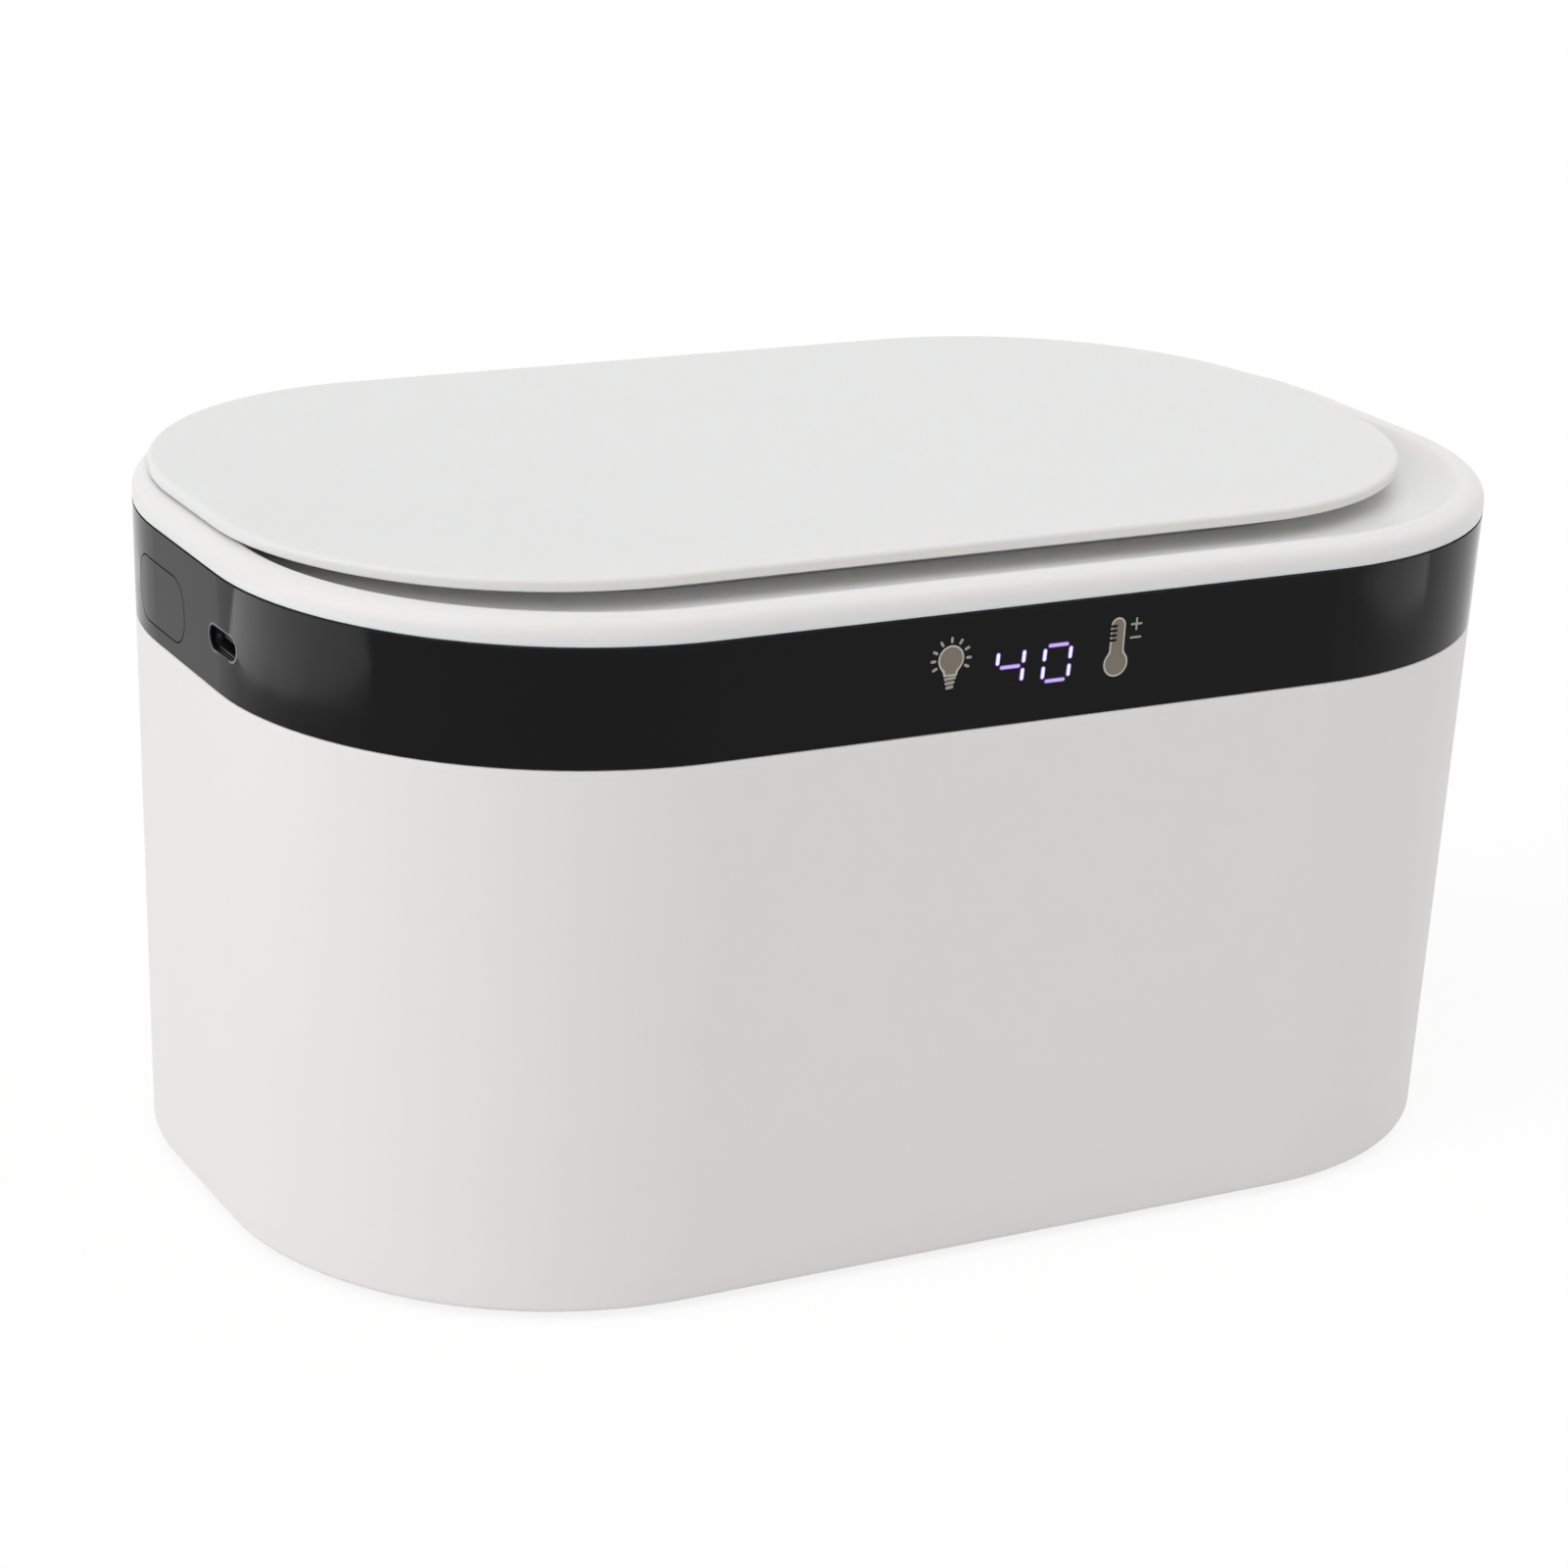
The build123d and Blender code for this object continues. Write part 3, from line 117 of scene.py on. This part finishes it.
def plain_material(name, color, roughness, metallic=0.0, specular=0.5, grain=1500.0, bump=0.02, mottle=0.02,
                   stretch=(1.0, 1.0, 1.0), under_skin=0.0):
    """A Principled material with its own fine grain: noise in the height, the gloss and, a little, the colour."""
    material = bpy.data.materials.new(name)
    tree = nodes_of(material)
    new, link = tree.nodes.new, tree.links.new
    out = new("ShaderNodeOutputMaterial")
    shader = new("ShaderNodeBsdfPrincipled")
    link(shader.outputs["BSDF"], out.inputs["Surface"])
    shader.inputs["Metallic"].default_value = metallic
    shader.inputs["Specular IOR Level"].default_value = specular
    shader.inputs["Subsurface Weight"].default_value = under_skin
    shader.inputs["Subsurface Radius"].default_value = SKIN_RADIUS
    shader.inputs["Subsurface Scale"].default_value = SKIN_DEPTH
    place = new("ShaderNodeTexCoord")
    scale = new("ShaderNodeMapping")
    scale.inputs["Scale"].default_value = stretch
    link(place.outputs["Object"], scale.inputs["Vector"])
    fine = new("ShaderNodeTexNoise")
    fine.inputs["Scale"].default_value = grain
    fine.inputs["Detail"].default_value = FINE_DETAIL
    link(scale.outputs["Vector"], fine.inputs["Vector"])
    broad = new("ShaderNodeTexNoise")
    broad.inputs["Scale"].default_value = grain * BROAD_GRAIN
    broad.inputs["Detail"].default_value = BROAD_DETAIL
    link(scale.outputs["Vector"], broad.inputs["Vector"])
    tint = new("ShaderNodeMapRange")
    tint.inputs["To Min"].default_value = 1.0 - mottle
    tint.inputs["To Max"].default_value = 1.0 + mottle
    link(broad.outputs["Fac"], tint.inputs["Value"])
    shade = new("ShaderNodeMix")
    shade.data_type = "RGBA"
    shade.blend_type = "MULTIPLY"
    shade.inputs["Factor"].default_value = 1.0
    shade.inputs["A"].default_value = (*color, 1.0)
    link(tint.outputs["Result"], shade.inputs["B"])
    link(shade.outputs["Result"], shader.inputs["Base Color"])
    gloss = new("ShaderNodeMapRange")
    gloss.inputs["To Min"].default_value = max(roughness - GLOSS_SPREAD, LEAST_ROUGHNESS)
    gloss.inputs["To Max"].default_value = min(roughness + GLOSS_SPREAD, 1.0)
    link(fine.outputs["Fac"], gloss.inputs["Value"])
    link(gloss.outputs["Result"], shader.inputs["Roughness"])
    height = new("ShaderNodeBump")
    height.inputs["Strength"].default_value = bump
    height.inputs["Distance"].default_value = BUMP_DEPTH
    link(fine.outputs["Fac"], height.inputs["Height"])
    link(height.outputs["Normal"], shader.inputs["Normal"])
    return material


def shade_of(red, green, blue):
    """A colour written in the 0 to 255 steps of a screen, as linear light, by the sRGB curve."""
    steps = [c / 255 for c in (red, green, blue)]
    return tuple(c / 12.92 if c <= 0.04045 else ((c + 0.055) / 1.055) ** 2.4 for c in steps)


UNLIT = shade_of(16, 15, 18)  # a lit mark's own colour


def light_material(name, color):
    """A lit mark: light that thins out a little along a fine noise."""
    material = bpy.data.materials.new(name)
    tree = nodes_of(material)
    new, link = tree.nodes.new, tree.links.new
    out = new("ShaderNodeOutputMaterial")
    shader = new("ShaderNodeBsdfPrincipled")
    link(shader.outputs["BSDF"], out.inputs["Surface"])
    shader.inputs["Base Color"].default_value = (*UNLIT, 1.0)
    shader.inputs["Roughness"].default_value = LIGHT_ROUGHNESS
    shader.inputs["Specular IOR Level"].default_value = LIGHT_SPECULAR
    shader.inputs["Emission Color"].default_value = (*color, 1.0)
    noise = new("ShaderNodeTexNoise")
    noise.inputs["Scale"].default_value = LIGHT_GRAIN
    spread = new("ShaderNodeMapRange")
    spread.inputs["To Min"].default_value = LIGHT_STRENGTH * (1 - LIGHT_SPREAD)
    spread.inputs["To Max"].default_value = LIGHT_STRENGTH * (1 + LIGHT_SPREAD)
    link(noise.outputs["Fac"], spread.inputs["Value"])
    link(spread.outputs["Result"], shader.inputs["Emission Strength"])
    return material


BAND_GLOSS = dict(specular=0.11, grain=300, bump=0.006, mottle=0.05)
SLOTS = {
    "shell_plastic": dict(color=shade_of(239, 238, 236), roughness=0.48, grain=1800, bump=0.03, mottle=0.008),
    "frame_plastic": dict(color=shade_of(240, 239, 238), roughness=0.34, grain=2200, bump=0.01, mottle=0.006,
                          under_skin=0.4),
    "lid_plastic": dict(color=shade_of(237, 237, 236), roughness=0.42, grain=2200, bump=0.02, mottle=0.006,
                        under_skin=0.4),
    "liner_plastic": dict(color=shade_of(236, 236, 234), roughness=0.45, grain=2000, bump=0.02),
    "band_plastic": dict(color=shade_of(15, 15, 16), roughness=0.09, **BAND_GLOSS),
    "button_plastic": dict(color=shade_of(16, 16, 17), roughness=0.11, **BAND_GLOSS),
    "bin_plastic": dict(color=shade_of(221, 221, 220), roughness=0.38, grain=1600, bump=0.02),
    "base_plastic": dict(color=shade_of(214, 214, 212), roughness=0.6, grain=900, bump=0.12),
    "seal_silicone": dict(color=shade_of(205, 205, 202), roughness=0.5, grain=1200, bump=0.05),
    "foot_rubber": dict(color=shade_of(62, 62, 62), roughness=0.85, grain=1500, bump=0.2, mottle=0.08),
    "foam_grey": dict(color=shade_of(150, 152, 154), roughness=0.95, grain=1100, bump=0.6, mottle=0.12),
    "film_amber": dict(color=shade_of(190, 110, 35), roughness=0.3, grain=500, bump=0.1, mottle=0.15),
    "spreader_aluminium": dict(color=shade_of(200, 202, 204), roughness=0.35, metallic=1.0, grain=900, bump=0.08,
                               stretch=(0.05, 1.0, 1.0)),
    "screw_steel": dict(color=shade_of(178, 178, 180), roughness=0.3, metallic=1.0, grain=2500, bump=0.08),
    "pin_steel": dict(color=shade_of(186, 186, 188), roughness=0.22, metallic=1.0, grain=3000, bump=0.05,
                      stretch=(0.1, 1.0, 1.0)),
    "port_steel": dict(color=shade_of(150, 150, 153), roughness=0.28, metallic=1.0, grain=3000, bump=0.05),
    "port_black": dict(color=shade_of(22, 22, 22), roughness=0.45, grain=3000, bump=0.05),
    "board_green": dict(color=shade_of(28, 92, 56), roughness=0.35, grain=700, bump=0.1, mottle=0.2),
    "part_black": dict(color=shade_of(34, 34, 35), roughness=0.5, grain=2500, bump=0.1, mottle=0.1),
    "sensor_ceramic": dict(color=shade_of(205, 200, 190), roughness=0.6, grain=2500, bump=0.1),
    "stem_plastic": dict(color=shade_of(216, 212, 200), roughness=0.4, grain=2500, bump=0.03),
    "digit_window": dict(color=shade_of(40, 40, 44), roughness=0.25, grain=2000, bump=0.02),
    "led_white": dict(color=shade_of(238, 236, 220), roughness=0.35, grain=2000, bump=0.03),
    "pad_copper": dict(color=shade_of(214, 150, 110), roughness=0.35, metallic=1.0, grain=2500, bump=0.08),
    "lead_red": dict(color=shade_of(170, 34, 28), roughness=0.45, grain=2500, bump=0.05),
    "lead_white": dict(color=shade_of(222, 222, 216), roughness=0.45, grain=2500, bump=0.05),
    "ribbon_grey": dict(color=shade_of(160, 160, 162), roughness=0.5, grain=1500, bump=0.15, stretch=(1.0, 0.2, 0.2)),
}
MATERIALS = {slot: plain_material(slot + "_look", **look) for slot, look in SLOTS.items()}
for row in frame["record"]["subparts"]:
    mesh = frame["nodes"][row["node"]].data
    for index in range(len(mesh.materials)):
        mesh.materials[index] = MATERIALS[row["material_slot"]]


# ---------------------------------------------------------------- marks on the band, and the port's rim of painted highlight
# A mark's outline is a list of (x, z) points in millimetres on the band's flat front face.
MARK_LIFT = 0.02  # of a mark's back over the face
MARK_THICKNESS = 0.03
LAYER_STEP = 0.015  # between marks that lie over each other
UNDER, BETWEEN, OVER, TOP = 0, 1, 2, 4  # the layers, in steps
ROUND_STEPS = 10
BAR_STEPS = 6  # round the end of a bar

BULB_CENTRE = (-13.83, 91.5)
BULB_RADIUS = 1.93
BULB_GLASS = (-38, 218)  # degrees, where the round glass starts and ends
BULB_NECK_Z = 89.15
BULB_NECK_HALF = 0.95
BULB_NECK_FLARE = 0.12  # how much wider the neck is where it leaves the glass
BULB_NECK_RISE = 0.2475  # how high up that is, as a share of the way from the neck's foot to the glass's centre
BULB_CAP_BOTTOM = 87.25
BULB_CAP_HALF = 0.62
BULB_THREADS = 3
THREAD_DROP = 0.12  # of the first thread under the neck
THREAD_ENDS = (-0.04, 0.1)  # how far a thread's left and right end stand over its middle
THREAD_GAP = 0.17
RAY_ANGLES = (-25.0, 0.0, 29.0, 59.5, 91.0, 124.0, 155.5, 181.5, 207.0)
RAY_NEAR = 2.32
RAY_FAR = 3.22
RAY_WIDTH = 0.40
THERMOMETER_X = 12.72
THERMOMETER_BULB_Z = 88.0
THERMOMETER_BULB_RADIUS = 1.88
THERMOMETER_HALF = 1.1
THERMOMETER_TOP = 94.6
THERMOMETER_TURN = 8  # degrees that the round bulb stops short of the stem
THERMOMETER_FLARE = 0.35  # how far over the bulb the stem reaches its own width
TICK_ZS = (91.42, 92.12, 92.8, 93.48)
TICK_LENGTH = 0.95
TICK_WIDTH = 0.36
SIGN_X = 15.68
PLUS_Z = 93.45
MINUS_Z = 91.5
SIGN_HALF = 0.95
SIGN_WIDTH = 0.30
EDGE_OUT = 0.08  # how far an icon's pale edge reaches past its outline
EDGE_IN = 0.20  # and how far inside it
DIGIT_FOUR_Z = 89.38
DIGIT_NOUGHT_Z = 89.18
DIGIT_SLANT = 0.045
DIGIT_HALF_WIDTH = 2.07
DIGIT_HALF_HEIGHT = 2.56
DIGIT_FOUR_X = -4.4
DIGIT_NOUGHT_X = 3.09
UPRIGHT_WIDTH = 0.50
LEVEL_WIDTH = 0.42
UPRIGHT_GAP = 0.42  # from a digit's corner to the end of a segment
LEVEL_GAP = 0.50
HALO = 0.13  # how far the violet edge of a segment reaches past its white core
# The port's bevel is black plastic; a grey steel ring laid on it stands in for the highlight it catches: a painted
# highlight.
PORT_HIGHLIGHT_OUT = 0.42  # the outer edge of the pale ring of painted highlight, past the port's own outline
PORT_HIGHLIGHT_IN = 0.14
PORT_HIGHLIGHT_DEEP = 0.5


def face_y(z):
    """The Y of the band's front face at height z."""
    return -(BODY_WIDTH / 2 - (BAND_TOP - z) * math.tan(math.radians(BODY_DRAFT)))


def end_x(y, z):
    """The X of the band's face at the port end, beside y at height z."""
    radius = CORNER_RADIUS - (BAND_TOP - z) * math.tan(math.radians(BODY_DRAFT))
    past_straight = max(abs(y) - (BODY_WIDTH / 2 - CORNER_RADIUS), 0.0)
    return -(BODY_LENGTH / 2 - CORNER_RADIUS + math.sqrt(radius**2 - past_straight**2))


def finish_piece(name, made, material):
    """Turn what was made into a piece that rides the housing."""
    bmesh.ops.recalc_face_normals(made, faces=made.faces)
    mesh = bpy.data.meshes.new(name)
    made.to_mesh(mesh)
    made.free()
    mesh.materials.append(material)
    piece = bpy.data.objects.new(name, mesh)
    bpy.context.scene.collection.objects.link(piece)
    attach(piece, "housing")


def add_piece(name, outlines, layer, material):
    """Thin plates with the given outlines on the band's front face, as one piece."""
    made = bmesh.new()
    near = MARK_LIFT + layer * LAYER_STEP
    for outline in outlines:
        back, front = (
            [made.verts.new((x * MM, (face_y(z) - lift) * MM, z * MM)) for x, z in outline]
            for lift in (near, near + MARK_THICKNESS)
        )
        made.faces.new(front)
        made.faces.new(list(reversed(back)))
        for i in range(len(outline)):
            j = (i + 1) % len(outline)
            made.faces.new((front[j], front[i], back[i], back[j]))
    finish_piece(name, made, material)


def arc(centre, radius, start, end, steps=ROUND_STEPS):
    """Points on a circle from the angle start to the angle end, in degrees."""
    points = []
    for i in range(steps + 1):
        angle = math.radians(start + (end - start) * i / steps)
        points.append((centre[0] + radius * math.cos(angle), centre[1] + radius * math.sin(angle)))
    return points


def port_outline(grow):
    """The round-ended outline of the power port's mouth, as (y, z) points."""
    half = PORT_WIDTH / 2 + grow
    radius = PORT_HEIGHT / 2 + grow
    left = arc((PORT_Y - half + radius, PORT_Z), radius, 90, 270, 2 * ROUND_STEPS)
    right = arc((PORT_Y + half - radius, PORT_Z), radius, -90, 90, 2 * ROUND_STEPS)
    return left + right


def add_port_painted_highlight(material):
    """A grey steel ring round the mouth of the power port: a painted highlight in place of the light that its black
    bevel catches.
    """
    made = bmesh.new()
    rings = (
        (PORT_HIGHLIGHT_OUT, 0.0), (PORT_HIGHLIGHT_OUT, MARK_LIFT), (PORT_HIGHLIGHT_IN, MARK_LIFT), (PORT_HIGHLIGHT_IN, -PORT_HIGHLIGHT_DEEP),
    )
    rows = [
        [made.verts.new(((end_x(y, z) - lift) * MM, y * MM, z * MM)) for y, z in port_outline(grow)]
        for grow, lift in rings
    ]
    for near, far in zip(rows, rows[1:]):
        for i in range(len(near)):
            j = (i + 1) % len(near)
            made.faces.new((near[i], near[j], far[j], far[i]))
    finish_piece("port_painted_highlight", made, material)


def bar(start, end, width, grow=0.0):
    """A straight bar with round ends, grown on every side by grow."""
    (x0, z0), (x1, z1) = start, end
    angle = math.degrees(math.atan2(z1 - z0, x1 - x0))
    tip = width / 2
    direction = Vector((x1 - x0, z1 - z0)).normalized()
    low = (x0 + direction.x * tip, z0 + direction.y * tip)
    high = (x1 - direction.x * tip, z1 - direction.y * tip)
    high_end = arc(high, tip + grow, angle - 90, angle + 90, BAR_STEPS)
    return high_end + arc(low, tip + grow, angle + 90, angle + 270, BAR_STEPS)


def bulb_outline(grow=0.0):
    """The glass of the light bulb with its neck."""
    x, z = BULB_CENTRE
    glass = arc(BULB_CENTRE, BULB_RADIUS + grow, *BULB_GLASS, 3 * ROUND_STEPS)
    neck = BULB_NECK_HALF + grow
    low = BULB_NECK_Z - grow
    flare_z = low + BULB_NECK_RISE * (z - BULB_NECK_Z)
    left = [(x - neck - BULB_NECK_FLARE, flare_z), (x - neck, low)]
    right = [(x + neck, low), (x + neck + BULB_NECK_FLARE, flare_z)]
    return glass + left + right


def cap_outlines():
    """The threads of the bulb's screw cap."""
    x, _ = BULB_CENTRE
    pitch = (BULB_NECK_Z - BULB_CAP_BOTTOM) / BULB_THREADS
    left_up, right_up = THREAD_ENDS
    rows = []
    for i in range(BULB_THREADS):
        middle = BULB_NECK_Z - pitch * i - THREAD_DROP - pitch / 2
        half = BULB_NECK_HALF + (BULB_CAP_HALF - BULB_NECK_HALF) * i / (BULB_THREADS - 1)
        rows.append(bar((x - half, middle + left_up), (x + half, middle + right_up), pitch - THREAD_GAP))
    return rows


def thermometer_outline(grow=0.0):
    """A round bulb with a stem that ends in a half circle."""
    radius = THERMOMETER_BULB_RADIUS + grow
    half = THERMOMETER_HALF + grow
    centre = (THERMOMETER_X, THERMOMETER_BULB_Z)
    meets = math.degrees(math.acos(half / radius))
    foot = arc(centre, radius, 180 - meets + THERMOMETER_TURN, 360 + meets - THERMOMETER_TURN, 3 * ROUND_STEPS)
    head = arc((THERMOMETER_X, THERMOMETER_TOP - THERMOMETER_HALF), half, 0, 180, 2 * ROUND_STEPS)
    flare_z = THERMOMETER_BULB_Z + radius * math.sin(math.radians(meets)) + THERMOMETER_FLARE
    return foot + [(THERMOMETER_X + half, flare_z)] + head + [(THERMOMETER_X - half, flare_z)]


def digit_bars(x, z, uprights, levels):
    """The upright and level segments of one digit. Uprights are (side, half) and levels are -1, 0 or 1."""
    def leaning(side, height):
        return (x + side + DIGIT_SLANT * height, z + height)

    up, flat = [], []
    for side, half in uprights:
        near, far = half * UPRIGHT_GAP, half * (DIGIT_HALF_HEIGHT - UPRIGHT_GAP)
        up.append((leaning(side * DIGIT_HALF_WIDTH, near), leaning(side * DIGIT_HALF_WIDTH, far)))
    for level in levels:
        reach = DIGIT_HALF_WIDTH - LEVEL_GAP
        height = level * DIGIT_HALF_HEIGHT
        flat.append((leaning(-reach, height), leaning(reach, height)))
    return up, flat


def bars(segments, width, grow=0.0):
    """The outlines of several bars of one width."""
    return [bar(*ends, width, grow) for ends in segments]


PRINT = dict(roughness=0.5, specular=0.1, grain=900, bump=0.1, mottle=0.05)
mark_fill = plain_material("mark_fill", shade_of(132, 124, 114), **PRINT)
mark_pale = plain_material("mark_pale", shade_of(168, 163, 155), **PRINT)
mark_edge = plain_material("mark_edge", shade_of(196, 192, 184), **PRINT)
mark_dark = plain_material("mark_dark", shade_of(10, 10, 10), **PRINT)

rays = []
for degrees in RAY_ANGLES:
    angle = math.radians(degrees)
    rays.append([
        (BULB_CENTRE[0] + reach * math.cos(angle), BULB_CENTRE[1] + reach * math.sin(angle))
        for reach in (RAY_NEAR, RAY_FAR)
    ])
add_piece("light_icon_edge", [bulb_outline(EDGE_OUT)], UNDER, mark_edge)
add_piece("light_icon", [bulb_outline(-EDGE_IN)], OVER, mark_fill)
add_piece("light_icon_rays", bars(rays, RAY_WIDTH), UNDER, mark_pale)
add_piece("light_icon_cap", cap_outlines(), UNDER, mark_pale)
add_piece("heat_icon_edge", [thermometer_outline(EDGE_OUT)], UNDER, mark_edge)
add_piece("heat_icon", [thermometer_outline(-EDGE_IN)], OVER, mark_fill)
tick_left = THERMOMETER_X - THERMOMETER_HALF - 2 * EDGE_OUT
tick_right = tick_left + TICK_LENGTH + 2 * EDGE_OUT
ticks = [((tick_left, z), (tick_right, z)) for z in TICK_ZS]
add_piece("heat_icon_ticks", bars(ticks, TICK_WIDTH), TOP, mark_dark)
signs = [((SIGN_X - SIGN_HALF, z), (SIGN_X + SIGN_HALF, z)) for z in (PLUS_Z, MINUS_Z)]
add_piece("heat_icon_signs", bars(signs, SIGN_WIDTH), UNDER, mark_pale)
plus_upright = [((SIGN_X, PLUS_Z - SIGN_HALF), (SIGN_X, PLUS_Z + SIGN_HALF))]
add_piece("heat_icon_plus_upright", bars(plus_upright, SIGN_WIDTH), BETWEEN, mark_pale)

four_up, four_flat = digit_bars(DIGIT_FOUR_X, DIGIT_FOUR_Z, [(-1, 1), (1, 1), (1, -1)], [0])
nought_up, nought_flat = digit_bars(
    DIGIT_NOUGHT_X, DIGIT_NOUGHT_Z, [(-1, 1), (1, 1), (-1, -1), (1, -1)], [-1, 1]
)
uprights, levels = four_up + nought_up, four_flat + nought_flat
violet_edge = light_material("digit_edge_light", shade_of(112, 82, 180))
white_core = light_material("digit_core_light", shade_of(246, 238, 250))
violet_core = light_material("digit_level_light", shade_of(206, 180, 238))
digit_edges = bars(uprights, UPRIGHT_WIDTH, HALO) + bars(levels, LEVEL_WIDTH, HALO)
add_piece("digit_edges", digit_edges, UNDER, violet_edge)
add_piece("digit_uprights", bars(uprights, UPRIGHT_WIDTH), OVER, white_core)
add_piece("digit_levels", bars(levels, LEVEL_WIDTH), OVER, violet_core)

# Pale steel that paints the highlight on the port's black bevel.
port_painted_highlight_look = plain_material("port_painted_highlight_look", shade_of(104, 104, 108), 0.3, metallic=1.0, grain=2500, bump=0.05)
add_port_painted_highlight(port_painted_highlight_look)


# ---------------------------------------------------------------- floor, world, light and camera
def seen_share(tree):
    """1 for a ray that is seen: straight on, mirrored or through glass. 0 for the light that lights things."""
    path = tree.nodes.new("ShaderNodeLightPath")
    total = path.outputs["Is Camera Ray"]
    for name in ("Is Glossy Ray", "Is Transmission Ray"):
        join = tree.nodes.new("ShaderNodeMath")
        join.operation = "MAXIMUM"
        tree.links.new(total, join.inputs[0])
        tree.links.new(path.outputs[name], join.inputs[1])
        total = join.outputs[0]
    return total


def add_flat(name, corners, material):
    """A flat face with the given corners in metres."""
    mesh = bpy.data.meshes.new(name)
    mesh.from_pydata(corners, [], [tuple(range(len(corners)))])
    mesh.materials.append(material)
    flat = bpy.data.objects.new(name, mesh)
    bpy.context.scene.collection.objects.link(flat)
    return flat


def make_floor():
    """A floor that is seen white, with the object's shadow on it, and that throws a little less light back."""
    corners = [(sx * FLOOR_REACH, sy * FLOOR_REACH, 0.0) for sx, sy in ((-1, -1), (1, -1), (1, 1), (-1, 1))]
    material = bpy.data.materials.new("floor_white")
    floor = add_flat("floor", corners, material)
    tree = nodes_of(material)
    new, link = tree.nodes.new, tree.links.new
    out = new("ShaderNodeOutputMaterial")
    lit = new("ShaderNodeBsdfDiffuse")
    lit.inputs["Color"].default_value = (FLOOR_SHADE, FLOOR_SHADE, FLOOR_SHADE, 1.0)
    pale = new("ShaderNodeBsdfDiffuse")
    pale.inputs["Color"].default_value = WHITE
    white = new("ShaderNodeEmission")
    white.inputs["Color"].default_value = WHITE
    white.inputs["Strength"].default_value = FLOOR_WHITE
    seen = new("ShaderNodeMixShader")
    seen.inputs["Fac"].default_value = FLOOR_SHADOW
    link(white.outputs["Emission"], seen.inputs[1])
    link(pale.outputs["BSDF"], seen.inputs[2])
    choose = new("ShaderNodeMixShader")
    link(seen_share(tree), choose.inputs["Fac"])
    link(lit.outputs["BSDF"], choose.inputs[1])
    link(seen.outputs["Shader"], choose.inputs[2])
    link(choose.outputs["Shader"], out.inputs["Surface"])


def add_sheet(name, brightness, corners):
    """A bright sheet on the floor that neither the camera nor the light on the object sees."""
    material = bpy.data.materials.new(name)
    sheet = add_flat(name, [(x * MM, y * MM, SHEET_HEIGHT * MM) for x, y in corners], material)
    sheet.visible_camera = False
    sheet.visible_diffuse = False
    sheet.visible_shadow = False
    tree = nodes_of(material)
    out = tree.nodes.new("ShaderNodeOutputMaterial")
    light = tree.nodes.new("ShaderNodeEmission")
    light.inputs["Strength"].default_value = brightness
    tree.links.new(light.outputs["Emission"], out.inputs["Surface"])


def make_world():
    """A world that is seen white and lights things by its ambient share."""
    world = bpy.data.worlds.new("studio")
    bpy.context.scene.world = world
    tree = nodes_of(world)
    new, link = tree.nodes.new, tree.links.new
    out = new("ShaderNodeOutputWorld")
    background = new("ShaderNodeBackground")
    background.inputs["Color"].default_value = WHITE
    strength = new("ShaderNodeMapRange")
    strength.inputs["To Min"].default_value = AMBIENT
    strength.inputs["To Max"].default_value = 1.0
    link(seen_share(tree), strength.inputs["Value"])
    link(strength.outputs["Result"], background.inputs["Strength"])
    link(background.outputs["Background"], out.inputs["Surface"])


def add_sun(name, share, around, height):
    """A wide soft sun. Its share is the light on a face turned to it, where 1 makes a white face white."""
    data = bpy.data.lights.new(name, "SUN")
    data.energy = share * math.pi
    data.angle = math.radians(SUN_WIDTH)
    sun = bpy.data.objects.new(name, data)
    turn, lift = math.radians(around), math.radians(height)
    towards_light = Vector((-math.sin(turn) * math.cos(lift), -math.cos(turn) * math.cos(lift), math.sin(lift)))
    sun.rotation_mode = "QUATERNION"
    sun.rotation_quaternion = towards_light.to_track_quat("Z", "Y")
    bpy.context.scene.collection.objects.link(sun)


def make_camera():
    """The camera of the photograph."""
    data = bpy.data.cameras.new("camera")
    data.sensor_fit = "HORIZONTAL"
    data.sensor_width = SENSOR
    data.lens = CAMERA_LENS
    data.clip_start = CAMERA_NEAR
    data.clip_end = CAMERA_FAR
    camera = bpy.data.objects.new("camera", data)
    turn = Matrix((CAMERA_RIGHT, CAMERA_UP, CAMERA_BACK)).transposed().to_4x4()
    camera.matrix_world = Matrix.Translation(Vector(CAMERA_PLACE) * MM) @ turn
    bpy.context.scene.collection.objects.link(camera)
    bpy.context.scene.camera = camera


make_floor()
for sheet_name, sheet_settings in SHEETS.items():
    add_sheet(sheet_name, *sheet_settings)
make_world()
for sun_name, sun_settings in SUNS.items():
    add_sun(sun_name, *sun_settings)
make_camera()
bpy.context.scene.view_settings.view_transform = "Standard"
